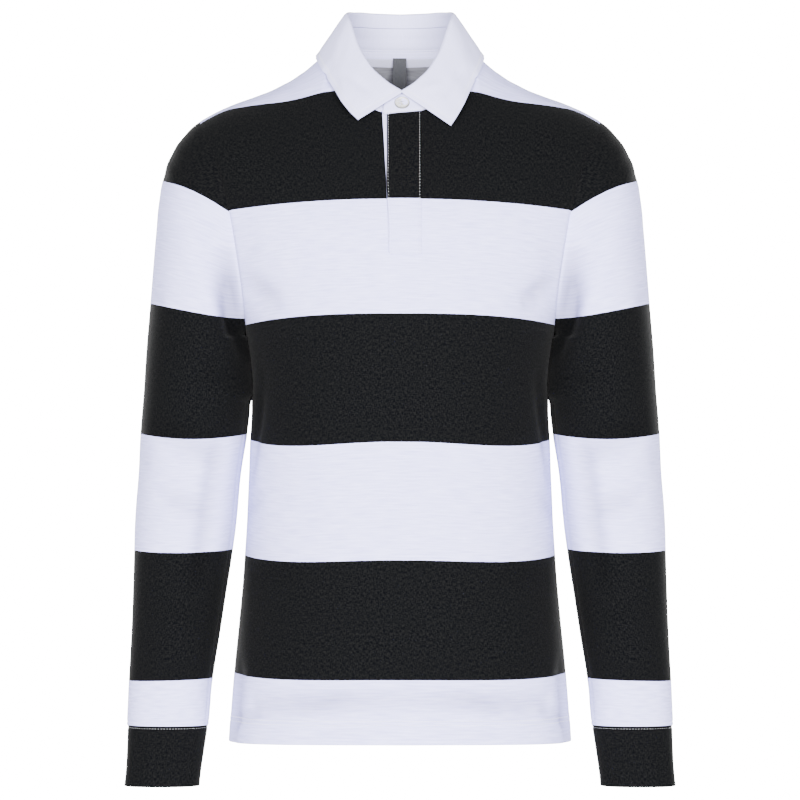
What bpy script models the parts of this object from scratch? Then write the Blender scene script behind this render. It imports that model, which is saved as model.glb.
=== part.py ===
"""Long-sleeved rugby shirt, filled out as if worn, with nobody inside.

Hooped jersey front, back and sleeves, plain jersey cuffs, a drill collar on a
stand, and a concealed placket closed by one button at the neck.  Metres, +Z up.
The front of the shirt faces -Y, and +X is the wearer's left.  The origin lies
between the neck ends of the two shoulder seams.
"""
import math
from collections import namedtuple

import bpy
from mathutils import Vector
from mathutils.bvhtree import BVHTree

# --- Driving dimensions -----------------------------------------------------
JERSEY_WALL = 0.0015        # heavy cotton jersey, seam allowances ironed in
CUFF_WALL = 0.0018          # two layers of jersey
DRILL_WALL = 0.0015         # collar and under placket, cotton drill
TAPE_WALL = 0.0010
LABEL_WALL = 0.0010
SEAM_GAP = 0.0003           # between the solids of pieces that are sewn together
SHOULDER_GAP = 0.0005       # more where the panels meet over the ridge

STRIPE_PITCH = 0.120        # one hoop, black or white
HEM_STRIPE = 0.064          # white band left below the lowest black hoop

UNDERARM_HEIGHT = -0.276
CHEST_HEIGHT = -0.180       # where the chest stands out furthest
SHOULDER_TIP_X = 0.2008
SHOULDER_TIP_Y = 0.010      # the ridge runs a little back, towards its tip
SHOULDER_TIP_HEIGHT = -0.0625
BACK_YOKE_HEIGHT = -0.036   # head of the top black hoop, at the back's centre
SEAM_LEAD = 0.0015          # the hoop ends this far below the shoulder tip
BACK_YOKE_FALL = 2.2        # exponent of its fall towards the shoulder tip
NECK_POINT_X = 0.074        # neck end of the shoulder seam
NECK_FRONT_Y = -0.072
NECK_BACK_Y = 0.066
NECK_FRONT_HEIGHT = -0.060
NECK_BACK_HEIGHT = 0.004
NECK_FALL = 1.35            # exponent of the neckline's fall from its points
NECK_FRONT_TURN = math.radians(78)      # its front part ends at the seam
SEAM_LEAN = math.radians(78)    # shoulder seam, just forward of the ridge

ARMHOLE_FRONT_Y = -0.079
ARMHOLE_BACK_Y = 0.082
ARMHOLE_CHEST_X = 0.1650
ARMHOLE_BLADE_X = 0.1710
UNDERARM_X = 0.1540

CAP_GAP = 0.0006            # more at the sleeve's top, where it turns over the seam

PLACKET_RIGHT_X = 0.0205    # stitched edge of the placket, wearer's left
PLACKET_LAP = 0.0010        # how far it laps over that edge of the slot
PLACKET_EDGE_TOP = -0.0122  # its free edge, at the neck and at its foot
PLACKET_EDGE_FOOT = -0.0105
PLACKET_LIFT = 0.0018       # outer side of the top layer, off the front
SLOT_LEFT_TOP = 0.0165      # the slot under it, to the wearer's right
SLOT_LEFT_FOOT = 0.0115
SLOT_WIDENS_FROM = -0.155   # heights between which it widens
SLOT_WIDENS_TO = -0.060

STAND_REACH_X = 0.0560      # the stand's top edge, to the side, front and back
STAND_FRONT_Y = -0.0595
STAND_BACK_Y = 0.0605
STAND_UNDER_X = 0.010       # the end that lies beneath
STAND_OVER_X = -0.0165      # the end that lies on top and carries the button
STAND_LIFT = 0.0021         # outer side of the top end, off the under end
STAND_LIFTS_FROM_X = 0.046  # the stand starts to rise here, on the wearer's left
STAND_CORNER = 0.0022       # the top end's lower corner is rounded off
STAND_ROWS = (0.0, 0.5, 1.0)
FOLD_REACH_X = 0.0540       # the collar's fold line, to the side, front and back
FOLD_FRONT_Y = -0.0655
FOLD_BACK_Y = 0.0625
FOLD_HALF = 0.0030          # half the thickness of the rolled fold
FOLD_DROP = 0.0028          # the roll is at its thickest this far below its top
LEAF_GAP = 0.0004           # between the stand's top edge and the leaf's
LEAF_FRONT_ANGLE = math.radians(0.6)    # the two leaves part at the centre front
LEAF_BULGE = 0.0008
LEAF_REST = 0.0034          # visible side of the leaf, off the cloth it lies on

# --- Tables -----------------------------------------------------------------
# The body from the hem up to the chest: half its width, and how far its front
# and back stand from the side seams.  "full" is the exponent of the section's
# rounded outline: 2 is an ellipse, more is squarer.
Level = namedtuple("Level", "height half_width front back full")
BODY = (
    Level(-0.6840, 0.1709, 0.125, 0.125, 2.30),
    Level(-0.6170, 0.1660, 0.124, 0.126, 2.30),
    Level(-0.5580, 0.1602, 0.121, 0.119, 2.30),
    Level(-0.4980, 0.1552, 0.118, 0.108, 2.30),
    Level(-0.4400, 0.1520, 0.115, 0.100, 2.30),
    Level(-0.3850, 0.1499, 0.115, 0.098, 2.28),
    Level(-0.3390, 0.1483, 0.120, 0.104, 2.25),
    Level(-0.3030, 0.1502, 0.127, 0.114, 2.20),
    Level(-0.2760, 0.1540, 0.132, 0.122, 2.15),
    Level(-0.1800, 0.1540, 0.135, 0.130, 2.05),
)

# The ridge of the shoulder, from the neck to the tip.
Ridge = namedtuple("Ridge", "x height")
RIDGE = (
    Ridge(0.0740, 0.0060),
    Ridge(0.0878, -0.0070),
    Ridge(0.1010, -0.0170),
    Ridge(0.1183, -0.0270),
    Ridge(0.1426, -0.0370),
    Ridge(0.1717, -0.0470),
    Ridge(0.1932, -0.0570),
    Ridge(0.2008, -0.0625),
)

# Heights of the hoop edges on a panel, at its centre line and at its sides,
# with the exponent of the bow between them and the sag half way out.
Course = namedtuple("Course", "centre side bow sag")
FRONT_COURSES = (
    Course(-0.6789, -0.6827, 2.5, 0.0000),      # hem
    Course(-0.6154, -0.6165, 2.5, 0.0030),      # foot of the lowest black hoop
    Course(-0.4984, -0.4965, 2.5, 0.0030),
    Course(-0.3827, -0.3850, 2.5, 0.0025),
    Course(-0.2576, -0.2684, 2.8, 0.0000),
    Course(-0.1458, -0.1555, 2.3, 0.0000),      # foot of the top black hoop
)
BACK_COURSES = (
    Course(-0.6827, -0.6827, 2.5, 0.0000),
    Course(-0.6160, -0.6165, 2.5, 0.0010),
    Course(-0.4975, -0.4965, 2.5, 0.0010),
    Course(-0.3840, -0.3850, 2.5, 0.0010),
    Course(-0.2610, -0.2684, 2.5, 0.0000),
    Course(-0.1470, -0.1555, 2.5, 0.0000),
)

# Head of the top black hoop, where the white of the shoulder begins.
FRONT_SHOULDER_COURSE = (
    Ridge(0.0000, -0.0340),
    Ridge(0.0790, -0.0386),
    Ridge(0.0990, -0.0432),
    Ridge(0.1390, -0.0481),
    Ridge(0.1590, -0.0505),
    Ridge(0.1790, -0.0547),
    Ridge(0.1900, -0.0587),
    Ridge(0.2008, -0.0640),
)

# The sleeves, as rings from the armhole to the cuff.  Each ring has its outer
# and inner point in the plane of the shoulders, and its front and back reach.
Ring = namedtuple("Ring", "outer_x outer_height inner_x inner_height front back sag")
SLEEVE = (
    Ring(0.2008, -0.0625, 0.1540, -0.2760, -0.0790, 0.0820, 0.000),     # armhole
    Ring(0.2157, -0.0770, 0.1546, -0.2785, -0.0775, 0.0805, 0.000),
    Ring(0.2288, -0.0970, 0.1546, -0.2812, -0.0760, 0.0790, 0.000),
    Ring(0.2357, -0.1170, 0.1545, -0.2840, -0.0745, 0.0770, 0.000),
    Ring(0.2406, -0.1420, 0.1542, -0.2870, -0.0730, 0.0750, 0.000),
    Ring(0.2435, -0.1720, 0.1538, -0.2905, -0.0715, 0.0735, 0.000),
    Ring(0.2463, -0.2050, 0.1532, -0.2945, -0.0700, 0.0720, 0.000),
    Ring(0.2491, -0.2400, 0.1524, -0.3000, -0.0680, 0.0700, 0.001),
    Ring(0.2517, -0.2700, 0.1514, -0.3090, -0.0660, 0.0680, 0.002),
    Ring(0.2541, -0.3000, 0.1504, -0.3220, -0.0635, 0.0655, 0.003),
    Ring(0.2563, -0.3350, 0.1496, -0.3400, -0.0610, 0.0635, 0.004),
    Ring(0.2595, -0.3755, 0.1528, -0.3760, -0.0590, 0.0620, 0.005),     # hoop
    Ring(0.2612, -0.4150, 0.1588, -0.4150, -0.0592, 0.0560, 0.004),
    Ring(0.2640, -0.4530, 0.1622, -0.4530, -0.0605, 0.0490, 0.003),
    Ring(0.2652, -0.4915, 0.1666, -0.4905, -0.0620, 0.0410, 0.002),     # hoop
    Ring(0.2662, -0.5350, 0.1731, -0.5335, -0.0630, 0.0310, 0.001),
    Ring(0.2677, -0.5790, 0.1796, -0.5770, -0.0635, 0.0210, 0.000),
    Ring(0.2698, -0.6205, 0.1861, -0.6180, -0.0635, 0.0130, 0.000),     # hoop
    Ring(0.2708, -0.6460, 0.1885, -0.6440, -0.0635, 0.0070, 0.000),
    Ring(0.2711, -0.6645, 0.1902, -0.6645, -0.0620, 0.0030, 0.000),     # cuff seam
)
SLEEVE_FULL = 2.1
CAP_RINGS = 5               # rings over which the armhole's own shape fades out
HOOP_RINGS = {              # rings that lie on a hoop edge, and at the cuff seam
    11: HEM_STRIPE + 2 * STRIPE_PITCH,
    14: HEM_STRIPE + STRIPE_PITCH,
    17: HEM_STRIPE,
    19: 0.018,
}
SLEEVE_BREAST = (           # foot of the top black hoop on the sleeve
    Ridge(0.1696, -0.1560), Ridge(0.1976, -0.1391), Ridge(0.2375, -0.1235),
)
SLEEVE_UPPER = (            # head of the middle black hoop on the sleeve
    Ridge(0.1580, -0.2610), Ridge(0.1780, -0.2594), Ridge(0.1976, -0.2564),
    Ridge(0.2176, -0.2526), Ridge(0.2496, -0.2458),
)

CUFF = (
    Ring(0.2700, -0.6648, 0.1922, -0.6648, -0.0605, 0.0015, 0.000),
    Ring(0.2706, -0.6900, 0.1955, -0.6900, -0.0605, -0.0030, 0.000),
    Ring(0.2717, -0.7120, 0.1986, -0.7120, -0.0610, -0.0080, 0.000),
    Ring(0.2721, -0.7237, 0.1999, -0.7237, -0.0612, -0.0105, 0.000),
)
CUFF_STATIONS = 20

# The collar, by the angle round the neck from the centre front: the top edge
# of the stand, the fold line, and the outer edge of each leaf.
Neck = namedtuple("Neck", "angle height")
FOLD_HEIGHTS = (
    Neck(0, -0.0352), Neck(21, -0.0222), Neck(41, -0.0030), Neck(53, 0.0120),
    Neck(65, 0.0300), Neck(78, 0.0415), Neck(95, 0.0475), Neck(120, 0.0494),
    Neck(150, 0.0498), Neck(180, 0.0498),
)
STAND_TOPS = (
    Neck(0, -0.0410), Neck(21, -0.0305), Neck(41, -0.0150), Neck(53, -0.0030),
    Neck(65, 0.0110), Neck(78, 0.0235), Neck(95, 0.0310), Neck(120, 0.0331),
    Neck(150, 0.0335), Neck(180, 0.0335),
)
Edge = namedtuple("Edge", "angle x y height")
LEAF_RIGHT = (              # wearer's right, -X
    Edge(0, -0.0409, -0.0885, -0.0667),
    Edge(25, -0.0545, -0.0800, -0.0520),
    Edge(50, -0.0650, -0.0610, -0.0350),
    Edge(75, -0.0775, -0.0300, -0.0130),
    Edge(100, -0.0838, 0.0060, 0.0010),
    Edge(125, -0.0770, 0.0450, 0.0020),
    Edge(150, -0.0480, 0.0730, 0.0000),
    Edge(180, 0.0000, 0.0840, -0.0010),
)
LEAF_LEFT = (               # wearer's left, +X, its point set a little wider
    Edge(0, 0.0497, -0.0900, -0.0725),
    Edge(25, 0.0600, -0.0800, -0.0560),
    Edge(50, 0.0690, -0.0610, -0.0370),
    Edge(75, 0.0790, -0.0300, -0.0135),
    Edge(100, 0.0838, 0.0060, 0.0010),
    Edge(125, 0.0770, 0.0450, 0.0020),
    Edge(150, 0.0480, 0.0730, 0.0000),
    Edge(180, 0.0000, 0.0840, -0.0010),
)

BUTTON_RADIUS = 0.0075
BUTTON_THICKNESS = 0.0028
BUTTON_X = 0.002
BUTTON_SHARE = 0.43         # how far up the stand its centre lies
BUTTON_SHANK = 0.0011       # thread between the cloth and the middle of its back

LABEL_LEFT_X = -0.0072
LABEL_RIGHT_X = 0.0064
LABEL_LENGTH = 0.038
LABEL_Y = 0.0623
LABEL_TOP = 0.0030
TAPE_DROP = 0.11            # share of the back's rise that the tape covers

# The largest folds, as soft troughs between two points.  On a panel "out" is the
# share of the way from its centre line to its side; on a sleeve it is the share
# of the way round from the outer side through the front to the inner side.
Fold = namedtuple("Fold", "low_out low_height high_out high_height width depth")
PANEL_GIRTH = 0.24          # centre line to side seam
SLEEVE_GIRTH = 0.19         # outer side to inner side
FRONT_FOLDS = (
    Fold(0.84, -0.690, 0.80, -0.610, 0.016, 0.0045),        # beside the hem
    Fold(0.93, -0.420, 0.72, -0.300, 0.018, 0.0040),        # drag from the underarm
)
BACK_FOLDS = (
    Fold(0.80, -0.690, 0.74, -0.600, 0.018, 0.0045),
    Fold(0.90, -0.400, 0.66, -0.290, 0.020, 0.0045),
    Fold(0.46, -0.470, 0.40, -0.330, 0.022, 0.0035),        # hollow of the back
)
SLEEVE_FRONT_FOLDS = (
    Fold(0.66, -0.285, 0.58, -0.190, 0.016, 0.0050),        # beside the armhole
    Fold(0.70, -0.400, 0.30, -0.372, 0.012, 0.0035),        # crook of the elbow
    Fold(0.62, -0.452, 0.34, -0.436, 0.011, 0.0030),
)
SLEEVE_BACK_FOLDS = (
    Fold(0.70, -0.280, 0.60, -0.180, 0.018, 0.0050),
    Fold(0.74, -0.430, 0.42, -0.405, 0.014, 0.0035),
)

# --- Grid of the panels -----------------------------------------------------
SIDE_COLUMNS = 14           # from the centre line to the side
SEAM_COLUMN_SHARE = 0.98    # the last but one column runs close to the seam
SEAM_ROW_LEAN = math.radians(2.5)
NECK_COLUMNS = 5            # of these, the ones that end at the neckline
LOWER_ROWS = (2, 4, 4)      # rows in each hoop from the hem to the underarm
ARM_ROWS = (0.36, 0.7307, 0.8325, 1.0)      # shares between hoop foot and chest
HOOP_ROWS = 4
SHOULDER_ROWS = 2


# --- Curves -----------------------------------------------------------------
def follow(table, key, column, at):
    """Smooth value of a table's column between its rows."""
    keys = [getattr(row, key) for row in table]
    values = [getattr(row, column) for row in table]
    at = min(max(at, keys[0]), keys[-1]) if keys[0] < keys[-1] else at
    index = 0
    while index < len(keys) - 2 and at > keys[index + 1]:
        index += 1
    steps = [keys[i + 1] - keys[i] for i in range(len(keys) - 1)]
    rates = [(values[i + 1] - values[i]) / steps[i] for i in range(len(steps))]

    def slope(i):
        if i == 0:
            return rates[0]
        if i == len(steps):
            return rates[-1]
        before, after = steps[i - 1], steps[i]
        return (rates[i - 1] * after + rates[i] * before) / (before + after)

    step = steps[index]
    part = (at - keys[index]) / step
    first = values[index] + part * step * slope(index)
    last = values[index + 1] - (1 - part) * step * slope(index + 1)
    blend = part * part * (3 - 2 * part)
    return first + (last - first) * blend


def mix(first, last, part):
    """Value or point part of the way from first to last."""
    return first + (last - first) * part


def smooth(part):
    """Part of the way, eased in and out."""
    return part * part * (3 - 2 * part)


def trough(folds, girth, out, height):
    """How deep the folds of a table press in at a point of a piece."""
    depth = 0.0
    for fold in folds:
        low = Vector((fold.low_out * girth, fold.low_height))
        run = Vector((fold.high_out * girth, fold.high_height)) - low
        point = Vector((out * girth, height)) - low
        along = point.dot(run) / run.length_squared
        away = (point - run * min(max(along, 0.0), 1.0)).length / fold.width
        fade = min(max(1.25 - 1.5 * abs(along - 0.5), 0.0), 1.0)
        depth += fold.depth * fade * math.exp(-away * away)
    return depth


# --- Form of the front and back ---------------------------------------------
Panel = namedtuple("Panel", "facing depth courses arm_x arm_y neck_y neck_height crown")
FRONT = Panel(-1, "front", FRONT_COURSES, ARMHOLE_CHEST_X, ARMHOLE_FRONT_Y,
              NECK_FRONT_Y, NECK_FRONT_HEIGHT, (1.45, 2.0))
BACK = Panel(1, "back", BACK_COURSES, ARMHOLE_BLADE_X, ARMHOLE_BACK_Y,
             NECK_BACK_Y, NECK_BACK_HEIGHT, (1.60, 2.0))
CHEST_LINE = Course(CHEST_HEIGHT, CHEST_HEIGHT, 2.5, 0.0)


def armhole_point(panel, height):
    """Where the armhole passes a height between the underarm and the chest."""
    drop = (CHEST_HEIGHT - height) / (CHEST_HEIGHT - UNDERARM_HEIGHT)
    drop = min(max(drop, 0.0), 1.0)
    x = UNDERARM_X + (panel.arm_x - UNDERARM_X) * (1 - drop) ** 1.5
    return x, panel.arm_y * math.sqrt(1 - drop * drop)


def section(panel, height):
    """Half width, depth and exponent of the body's outline at a height."""
    full = follow(BODY, "height", "full", height)
    depth = follow(BODY, "height", panel.depth, height)
    if height <= UNDERARM_HEIGHT:
        return follow(BODY, "height", "half_width", height), depth, full
    x, y = armhole_point(panel, height)
    return x / (1 - (abs(y) / depth) ** full) ** (1 / full), depth, full


def side_turn(panel, height):
    """Angle round the outline at which the panel ends, at a height."""
    if height <= UNDERARM_HEIGHT:
        return math.pi / 2
    width, depth, full = section(panel, height)
    y = abs(armhole_point(panel, height)[1])
    return math.acos((y / depth) ** (full / 2))


def course_height(course, spread):
    """Height of a hoop edge, at a share of the way out to the side."""
    bow = (course.side - course.centre) * spread ** course.bow
    return course.centre + bow - 4 * course.sag * spread ** 2 * (1 - spread ** 2)


def row_height(row, spread):
    """Height of a row that lies between two hoop edges."""
    low, high, share = row
    return mix(course_height(low, spread), course_height(high, spread), share)


def lower_point(panel, row, start_x, share):
    """Point below the chest line, a share of the way from start_x to the side."""
    middle = row_height(row, 0.0)
    width, depth, full = section(panel, middle)
    start = math.asin((start_x / width) ** (full / 2))
    spread = 1.0
    for _ in range(4):
        end = side_turn(panel, row_height(row, spread))
        spread = math.sin(end) ** (2 / full)
    turn = mix(start, end, share)
    height = middle
    for _ in range(3):
        width, depth, full = section(panel, height)
        height = row_height(row, math.sin(turn) ** (2 / full))
    x = width * math.sin(turn) ** (2 / full)
    return Vector((x, panel.facing * depth * math.cos(turn) ** (2 / full), height))


def neck_point(panel, turn):
    """Point of the neckline, by the angle from the panel's centre line."""
    fall = math.cos(turn) ** NECK_FALL
    ridge = RIDGE[0].height
    height = ridge + (panel.neck_height - ridge) * fall
    return Vector((NECK_POINT_X * math.sin(turn), panel.neck_y * math.cos(turn), height))


def column_share(column):
    """How far out a column lies, from the centre line to the seam."""
    if column == SIDE_COLUMNS:
        return 1.0
    return SEAM_COLUMN_SHARE * column / (SIDE_COLUMNS - 1)


Crown = namedtuple("Crown", "base top end_x full end_lean")


def crown(panel, start_x, column):
    """The curve of a column from the chest line up to the neck or shoulder."""
    share = column_share(column)
    neck_share = column_share(NECK_COLUMNS)
    chest_row = (CHEST_LINE, CHEST_LINE, 0.0)
    base = lower_point(panel, chest_row, start_x(CHEST_HEIGHT), share)
    if column >= NECK_COLUMNS:
        out = (share - neck_share) / (1 - neck_share)
        x = mix(NECK_POINT_X, SHOULDER_TIP_X, out)
        top = Vector((x, SHOULDER_TIP_Y * out, follow(RIDGE, "x", "height", x)))
        full = mix(panel.crown[0], panel.crown[1], out)
        return Crown(base, top, x, full, math.pi / 2)
    first = math.asin(start_x(NECK_FRONT_HEIGHT) / NECK_POINT_X)
    last = NECK_FRONT_TURN if panel is FRONT else math.pi / 2
    end = neck_point(panel, mix(first, last, column / NECK_COLUMNS))
    full = panel.crown[0]
    lean = math.acos((end.y / base.y) ** (full / 2))
    rise = (end.z - base.z) / math.sin(lean) ** (2 / full)
    return Crown(base, Vector((end.x, 0.0, base.z + rise)), end.x, full, lean)


def crown_point(curve, lean):
    """Point of a crown curve, by its angle up from the chest line."""
    up = math.sin(lean) ** (2 / curve.full)
    inward = math.cos(lean) ** (2 / curve.full) if lean < math.pi / 2 else 0.0
    part = up / math.sin(curve.end_lean) ** (2 / curve.full)
    x = mix(curve.base.x, curve.end_x, (part + part * part) / 2)
    y = mix(curve.top.y, curve.base.y, inward)
    return Vector((x, y, mix(curve.base.z, curve.top.z, up)))


def lean_at(curve, height):
    """Angle at which a crown curve reaches a height."""
    up = (height - curve.base.z) / (curve.top.z - curve.base.z)
    return math.asin(min(up, 1.0) ** (curve.full / 2))


def shoulder_course_height(panel, x):
    """Height of the head of the top black hoop."""
    if panel is FRONT:
        return follow(FRONT_SHOULDER_COURSE, "x", "height", x)
    fall = (x / SHOULDER_TIP_X) ** BACK_YOKE_FALL
    return mix(BACK_YOKE_HEIGHT, SHOULDER_TIP_HEIGHT - SEAM_LEAD, fall)


def crown_leans(panel, curve, column):
    """Angles of the rows above the chest line in one column."""
    spread = curve.base.x / panel.arm_x
    foot = lean_at(curve, course_height(panel.courses[-1], spread))
    last = curve.end_lean
    latest = mix(foot, last, 0.80 if column < NECK_COLUMNS else 0.96)
    if panel is FRONT and column >= NECK_COLUMNS:
        last = SEAM_LEAN
        latest = SEAM_LEAN - 3 * SEAM_ROW_LEAN
    head = min(lean_at(curve, shoulder_course_height(panel, curve.end_x)), latest)
    leans = [mix(foot, head, i / HOOP_ROWS) for i in range(HOOP_ROWS + 1)]
    leans += [mix(head, last, 0.5)]
    leans += [mix(head, last, 1 - TAPE_DROP * 2) if panel is BACK else last - SEAM_ROW_LEAN]
    return leans + [last]


def slot_edge_x(side, height):
    """Distance of the placket slot's edge from the centre line."""
    if side > 0:
        return PLACKET_RIGHT_X
    part = (height - SLOT_WIDENS_FROM) / (SLOT_WIDENS_TO - SLOT_WIDENS_FROM)
    return mix(SLOT_LEFT_FOOT, SLOT_LEFT_TOP, smooth(min(max(part, 0.0), 1.0)))


def lower_rows(panel):
    """The rows from the hem to the chest line, as shares between hoop edges."""
    courses = panel.courses
    rows = []
    for index, count in enumerate(LOWER_ROWS):
        low, high = courses[index], courses[index + 1]
        rows += [(low, high, i / count) for i in range(count)]
    low, high = courses[3], courses[4]
    meet = (UNDERARM_HEIGHT - low.side) / (high.side - low.side)
    rows += [(low, high, share) for share in (0.0, meet / 3, meet * 2 / 3, meet)]
    shares = ARM_ROWS if panel is FRONT else (0.5, 1.0)
    rows += [(high, CHEST_LINE, share) for share in (0.0,) + shares]
    return rows


def half_panel(panel, side, start_x):
    """Columns of points for one side of a panel, from the middle outward."""
    columns = []
    for column in range(SIDE_COLUMNS + 1):
        share = column_share(column)
        points = [lower_point(panel, row, start_x(row_height(row, 0.0)), share)
                  for row in lower_rows(panel)]
        curve = crown(panel, start_x, column)
        points += [crown_point(curve, lean) for lean in crown_leans(panel, curve, column)]
        if panel is BACK and column >= NECK_COLUMNS:
            forward = crown(FRONT, slot_start(side), column)
            points.append(crown_point(forward, SEAM_LEAN + SEAM_ROW_LEAN))
            points.append(crown_point(forward, SEAM_LEAN))
        folds = FRONT_FOLDS if panel is FRONT else BACK_FOLDS
        for index, point in enumerate(points[:len(lower_rows(panel))]):
            flat = Vector((point.x, point.y, 0.0)).normalized()
            depth = trough(folds, PANEL_GIRTH, share, point.z) * (1 - share ** 12)
            points[index] = point - flat * depth
        columns.append([Vector((side * p.x, p.y, p.z)) for p in points])
    return columns


def centre_start(height):
    """Columns of a whole panel start on the centre line."""
    return 0.0


def slot_start(side):
    """Columns of the front start at the edge of the placket's slot."""
    return lambda height: slot_edge_x(side, height)


# --- Meshes -----------------------------------------------------------------
def paint(name, colour, roughness):
    """A plain cloth colour."""
    material = bpy.data.materials.new(name)
    material.use_nodes = True
    surface = material.node_tree.nodes["Principled BSDF"]
    surface.inputs["Base Color"].default_value = (*colour, 1.0)
    surface.inputs["Roughness"].default_value = roughness
    surface.inputs["Metallic"].default_value = 0.0
    return material


WHITE = (0.80, 0.80, 0.88)
BLACK = (0.017, 0.018, 0.020)


def hooped_jersey(name):
    """Black and white hoops that follow the cloth's own measure up its length."""
    material = paint(name, WHITE, 0.9)
    nodes, links = material.node_tree.nodes, material.node_tree.links
    measure = nodes.new("ShaderNodeAttribute")
    measure.attribute_name = "course"
    hoop = nodes.new("ShaderNodeMath")
    hoop.operation = "PINGPONG"
    hoop.inputs[1].default_value = STRIPE_PITCH
    shift = nodes.new("ShaderNodeMath")
    shift.operation = "SUBTRACT"
    shift.inputs[1].default_value = HEM_STRIPE + STRIPE_PITCH / 2
    black = nodes.new("ShaderNodeMath")
    black.operation = "LESS_THAN"
    black.inputs[1].default_value = STRIPE_PITCH / 2
    blend = nodes.new("ShaderNodeMix")
    blend.data_type = "RGBA"
    blend.inputs["A"].default_value = (*WHITE, 1.0)
    blend.inputs["B"].default_value = (*BLACK, 1.0)
    links.new(measure.outputs["Fac"], shift.inputs[0])
    links.new(shift.outputs[0], hoop.inputs[0])
    links.new(hoop.outputs[0], black.inputs[0])
    links.new(black.outputs[0], blend.inputs["Factor"])
    links.new(blend.outputs["Result"], nodes["Principled BSDF"].inputs["Base Color"])
    return material


def cloth(name, grid, wall, material, closed=False, skip=None, flip=False, measure=None):
    """A wall of cloth behind a grid of points on its outer side.

    The grid is a list of rows.  A closed grid joins its last column to its
    first.  Cells for which skip(row, column) is true are left out.
    """
    width = len(grid[0])
    mesh = bpy.data.meshes.new(name)
    points = [tuple(point) for row in grid for point in row]
    faces = []
    for row in range(len(grid) - 1):
        for column in range(width if closed else width - 1):
            if skip and skip(row, column):
                continue
            after = (column + 1) % width
            face = [row * width + column, row * width + after,
                    (row + 1) * width + after, (row + 1) * width + column]
            faces.append(face[::-1] if flip else face)
    used = sorted({index for face in faces for index in face})
    place = {index: number for number, index in enumerate(used)}
    mesh.from_pydata([points[index] for index in used], [],
                     [[place[index] for index in face] for face in faces])
    if measure:
        values = [value for row in measure for value in row]
        layer = mesh.attributes.new("course", "FLOAT", "POINT")
        layer.data.foreach_set("value", [values[index] for index in used])
    mesh.materials.append(material)
    mesh.shade_smooth()
    piece = bpy.data.objects.new(name, mesh)
    shirt.objects.link(piece)
    thick = piece.modifiers.new("Wall", "SOLIDIFY")
    thick.thickness = wall
    thick.offset = -1.0
    return piece


def pull_back(edge, inner, gap):
    """Move an edge point towards its inner neighbour by a gap."""
    return edge + (inner - edge).normalized() * gap


# --- Build ------------------------------------------------------------------
for stale in list(bpy.data.objects):
    bpy.data.objects.remove(stale, do_unlink=True)
shirt = bpy.data.collections.new("rugby_shirt")
bpy.context.scene.collection.children.link(shirt)


def panel_grid(panel):
    """Rows of points of a whole panel, from wearer's right to left in front."""
    start = slot_start if panel is FRONT else (lambda side: centre_start)
    right = half_panel(panel, -1, start(-1))
    left = half_panel(panel, 1, start(1))
    if panel is FRONT:
        middle = [Vector((0.0, -section(panel, row_height(row, 0.0))[1],
                          row_height(row, 0.0))) for row in lower_rows(panel)]
        middle += [mix(a, b, a.x / (a.x - b.x)) for a, b in zip(right[0], left[0])][len(middle):]
        columns = right[::-1] + [middle] + left
    else:
        columns = left[::-1] + right[1:]
    height = max(len(column) for column in columns)
    columns = [column + [column[-1]] * (height - len(column)) for column in columns]
    return [[column[row] for column in columns] for row in range(height)]


def row_measures(panel, grid):
    """Measure up the cloth of every point, 0 at the hem."""
    edges = [0.0] + [HEM_STRIPE + STRIPE_PITCH * i for i in range(5)]
    rows = lower_rows(panel)
    measures = []
    for (low, high, share), points in zip(rows, grid):
        first = edges[panel.courses.index(low)]
        if high is not CHEST_LINE:
            last = edges[panel.courses.index(high)]
            measures.append([mix(first, last, share)] * len(points))
            continue
        values = []
        for point in points:
            spread = min(abs(point.x) / panel.arm_x, 1.0)
            foot, head = course_height(low, spread), course_height(panel.courses[-1], spread)
            values.append(first + STRIPE_PITCH * (point.z - foot) / (head - foot))
        measures.append(values)
    for row in range(len(grid) - len(rows)):
        value = edges[-1] + STRIPE_PITCH * min(row / HOOP_ROWS, 1.0)
        value += STRIPE_PITCH / 4 * max(row - HOOP_ROWS, 0) / SHOULDER_ROWS
        measures.append([value] * len(grid[0]))
    return measures


# Front: one panel, slotted for the placket
front_grid = panel_grid(FRONT)
front_rows = lower_rows(FRONT)
CENTRE = SIDE_COLUMNS + 1
SLOT_ROW = [row[2] for row in front_rows].index(ARM_ROWS[2], len(front_rows) - 5)


def in_slot(row, column):
    """Cells that the placket's slot takes out of the front."""
    return row >= SLOT_ROW and column in (CENTRE - 1, CENTRE)


front_trimmed = [list(row) for row in front_grid]
for row in front_trimmed[:-1]:
    row[0] = pull_back(row[0], row[1], SEAM_GAP / 2)
    row[-1] = pull_back(row[-1], row[-2], SEAM_GAP / 2)
jersey = hooped_jersey("hooped_jersey_front")
cloth("front", front_trimmed, JERSEY_WALL, jersey, skip=in_slot,
      measure=row_measures(FRONT, front_grid))

# Back: one panel, which carries the shoulder seam just over the ridge
back_grid = panel_grid(BACK)
NECKLINE_ROW = len(back_grid) - 3


def above_back_neck(row, column):
    """Cells that would reach past the back neckline."""
    reach = SIDE_COLUMNS - NECK_COLUMNS
    return row >= NECKLINE_ROW and reach <= column < len(back_grid[0]) - 1 - reach


back_trimmed = [list(row) for row in back_grid]
for row in back_trimmed[:-1]:
    row[0] = pull_back(row[0], row[1], SEAM_GAP / 2)
    row[-1] = pull_back(row[-1], row[-2], SEAM_GAP / 2)
for column, before in enumerate(back_trimmed[-2]):
    if back_trimmed[-1][column] != before:
        back_trimmed[-1][column] = pull_back(back_trimmed[-1][column], before, SHOULDER_GAP)
cloth("back", back_trimmed, JERSEY_WALL, hooped_jersey("hooped_jersey_back"),
      skip=above_back_neck, measure=row_measures(BACK, back_grid))


# Sleeves: tubes from the armhole down to the cuff seam
UNDERARM_ROW = sum(LOWER_ROWS) + 3


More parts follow.
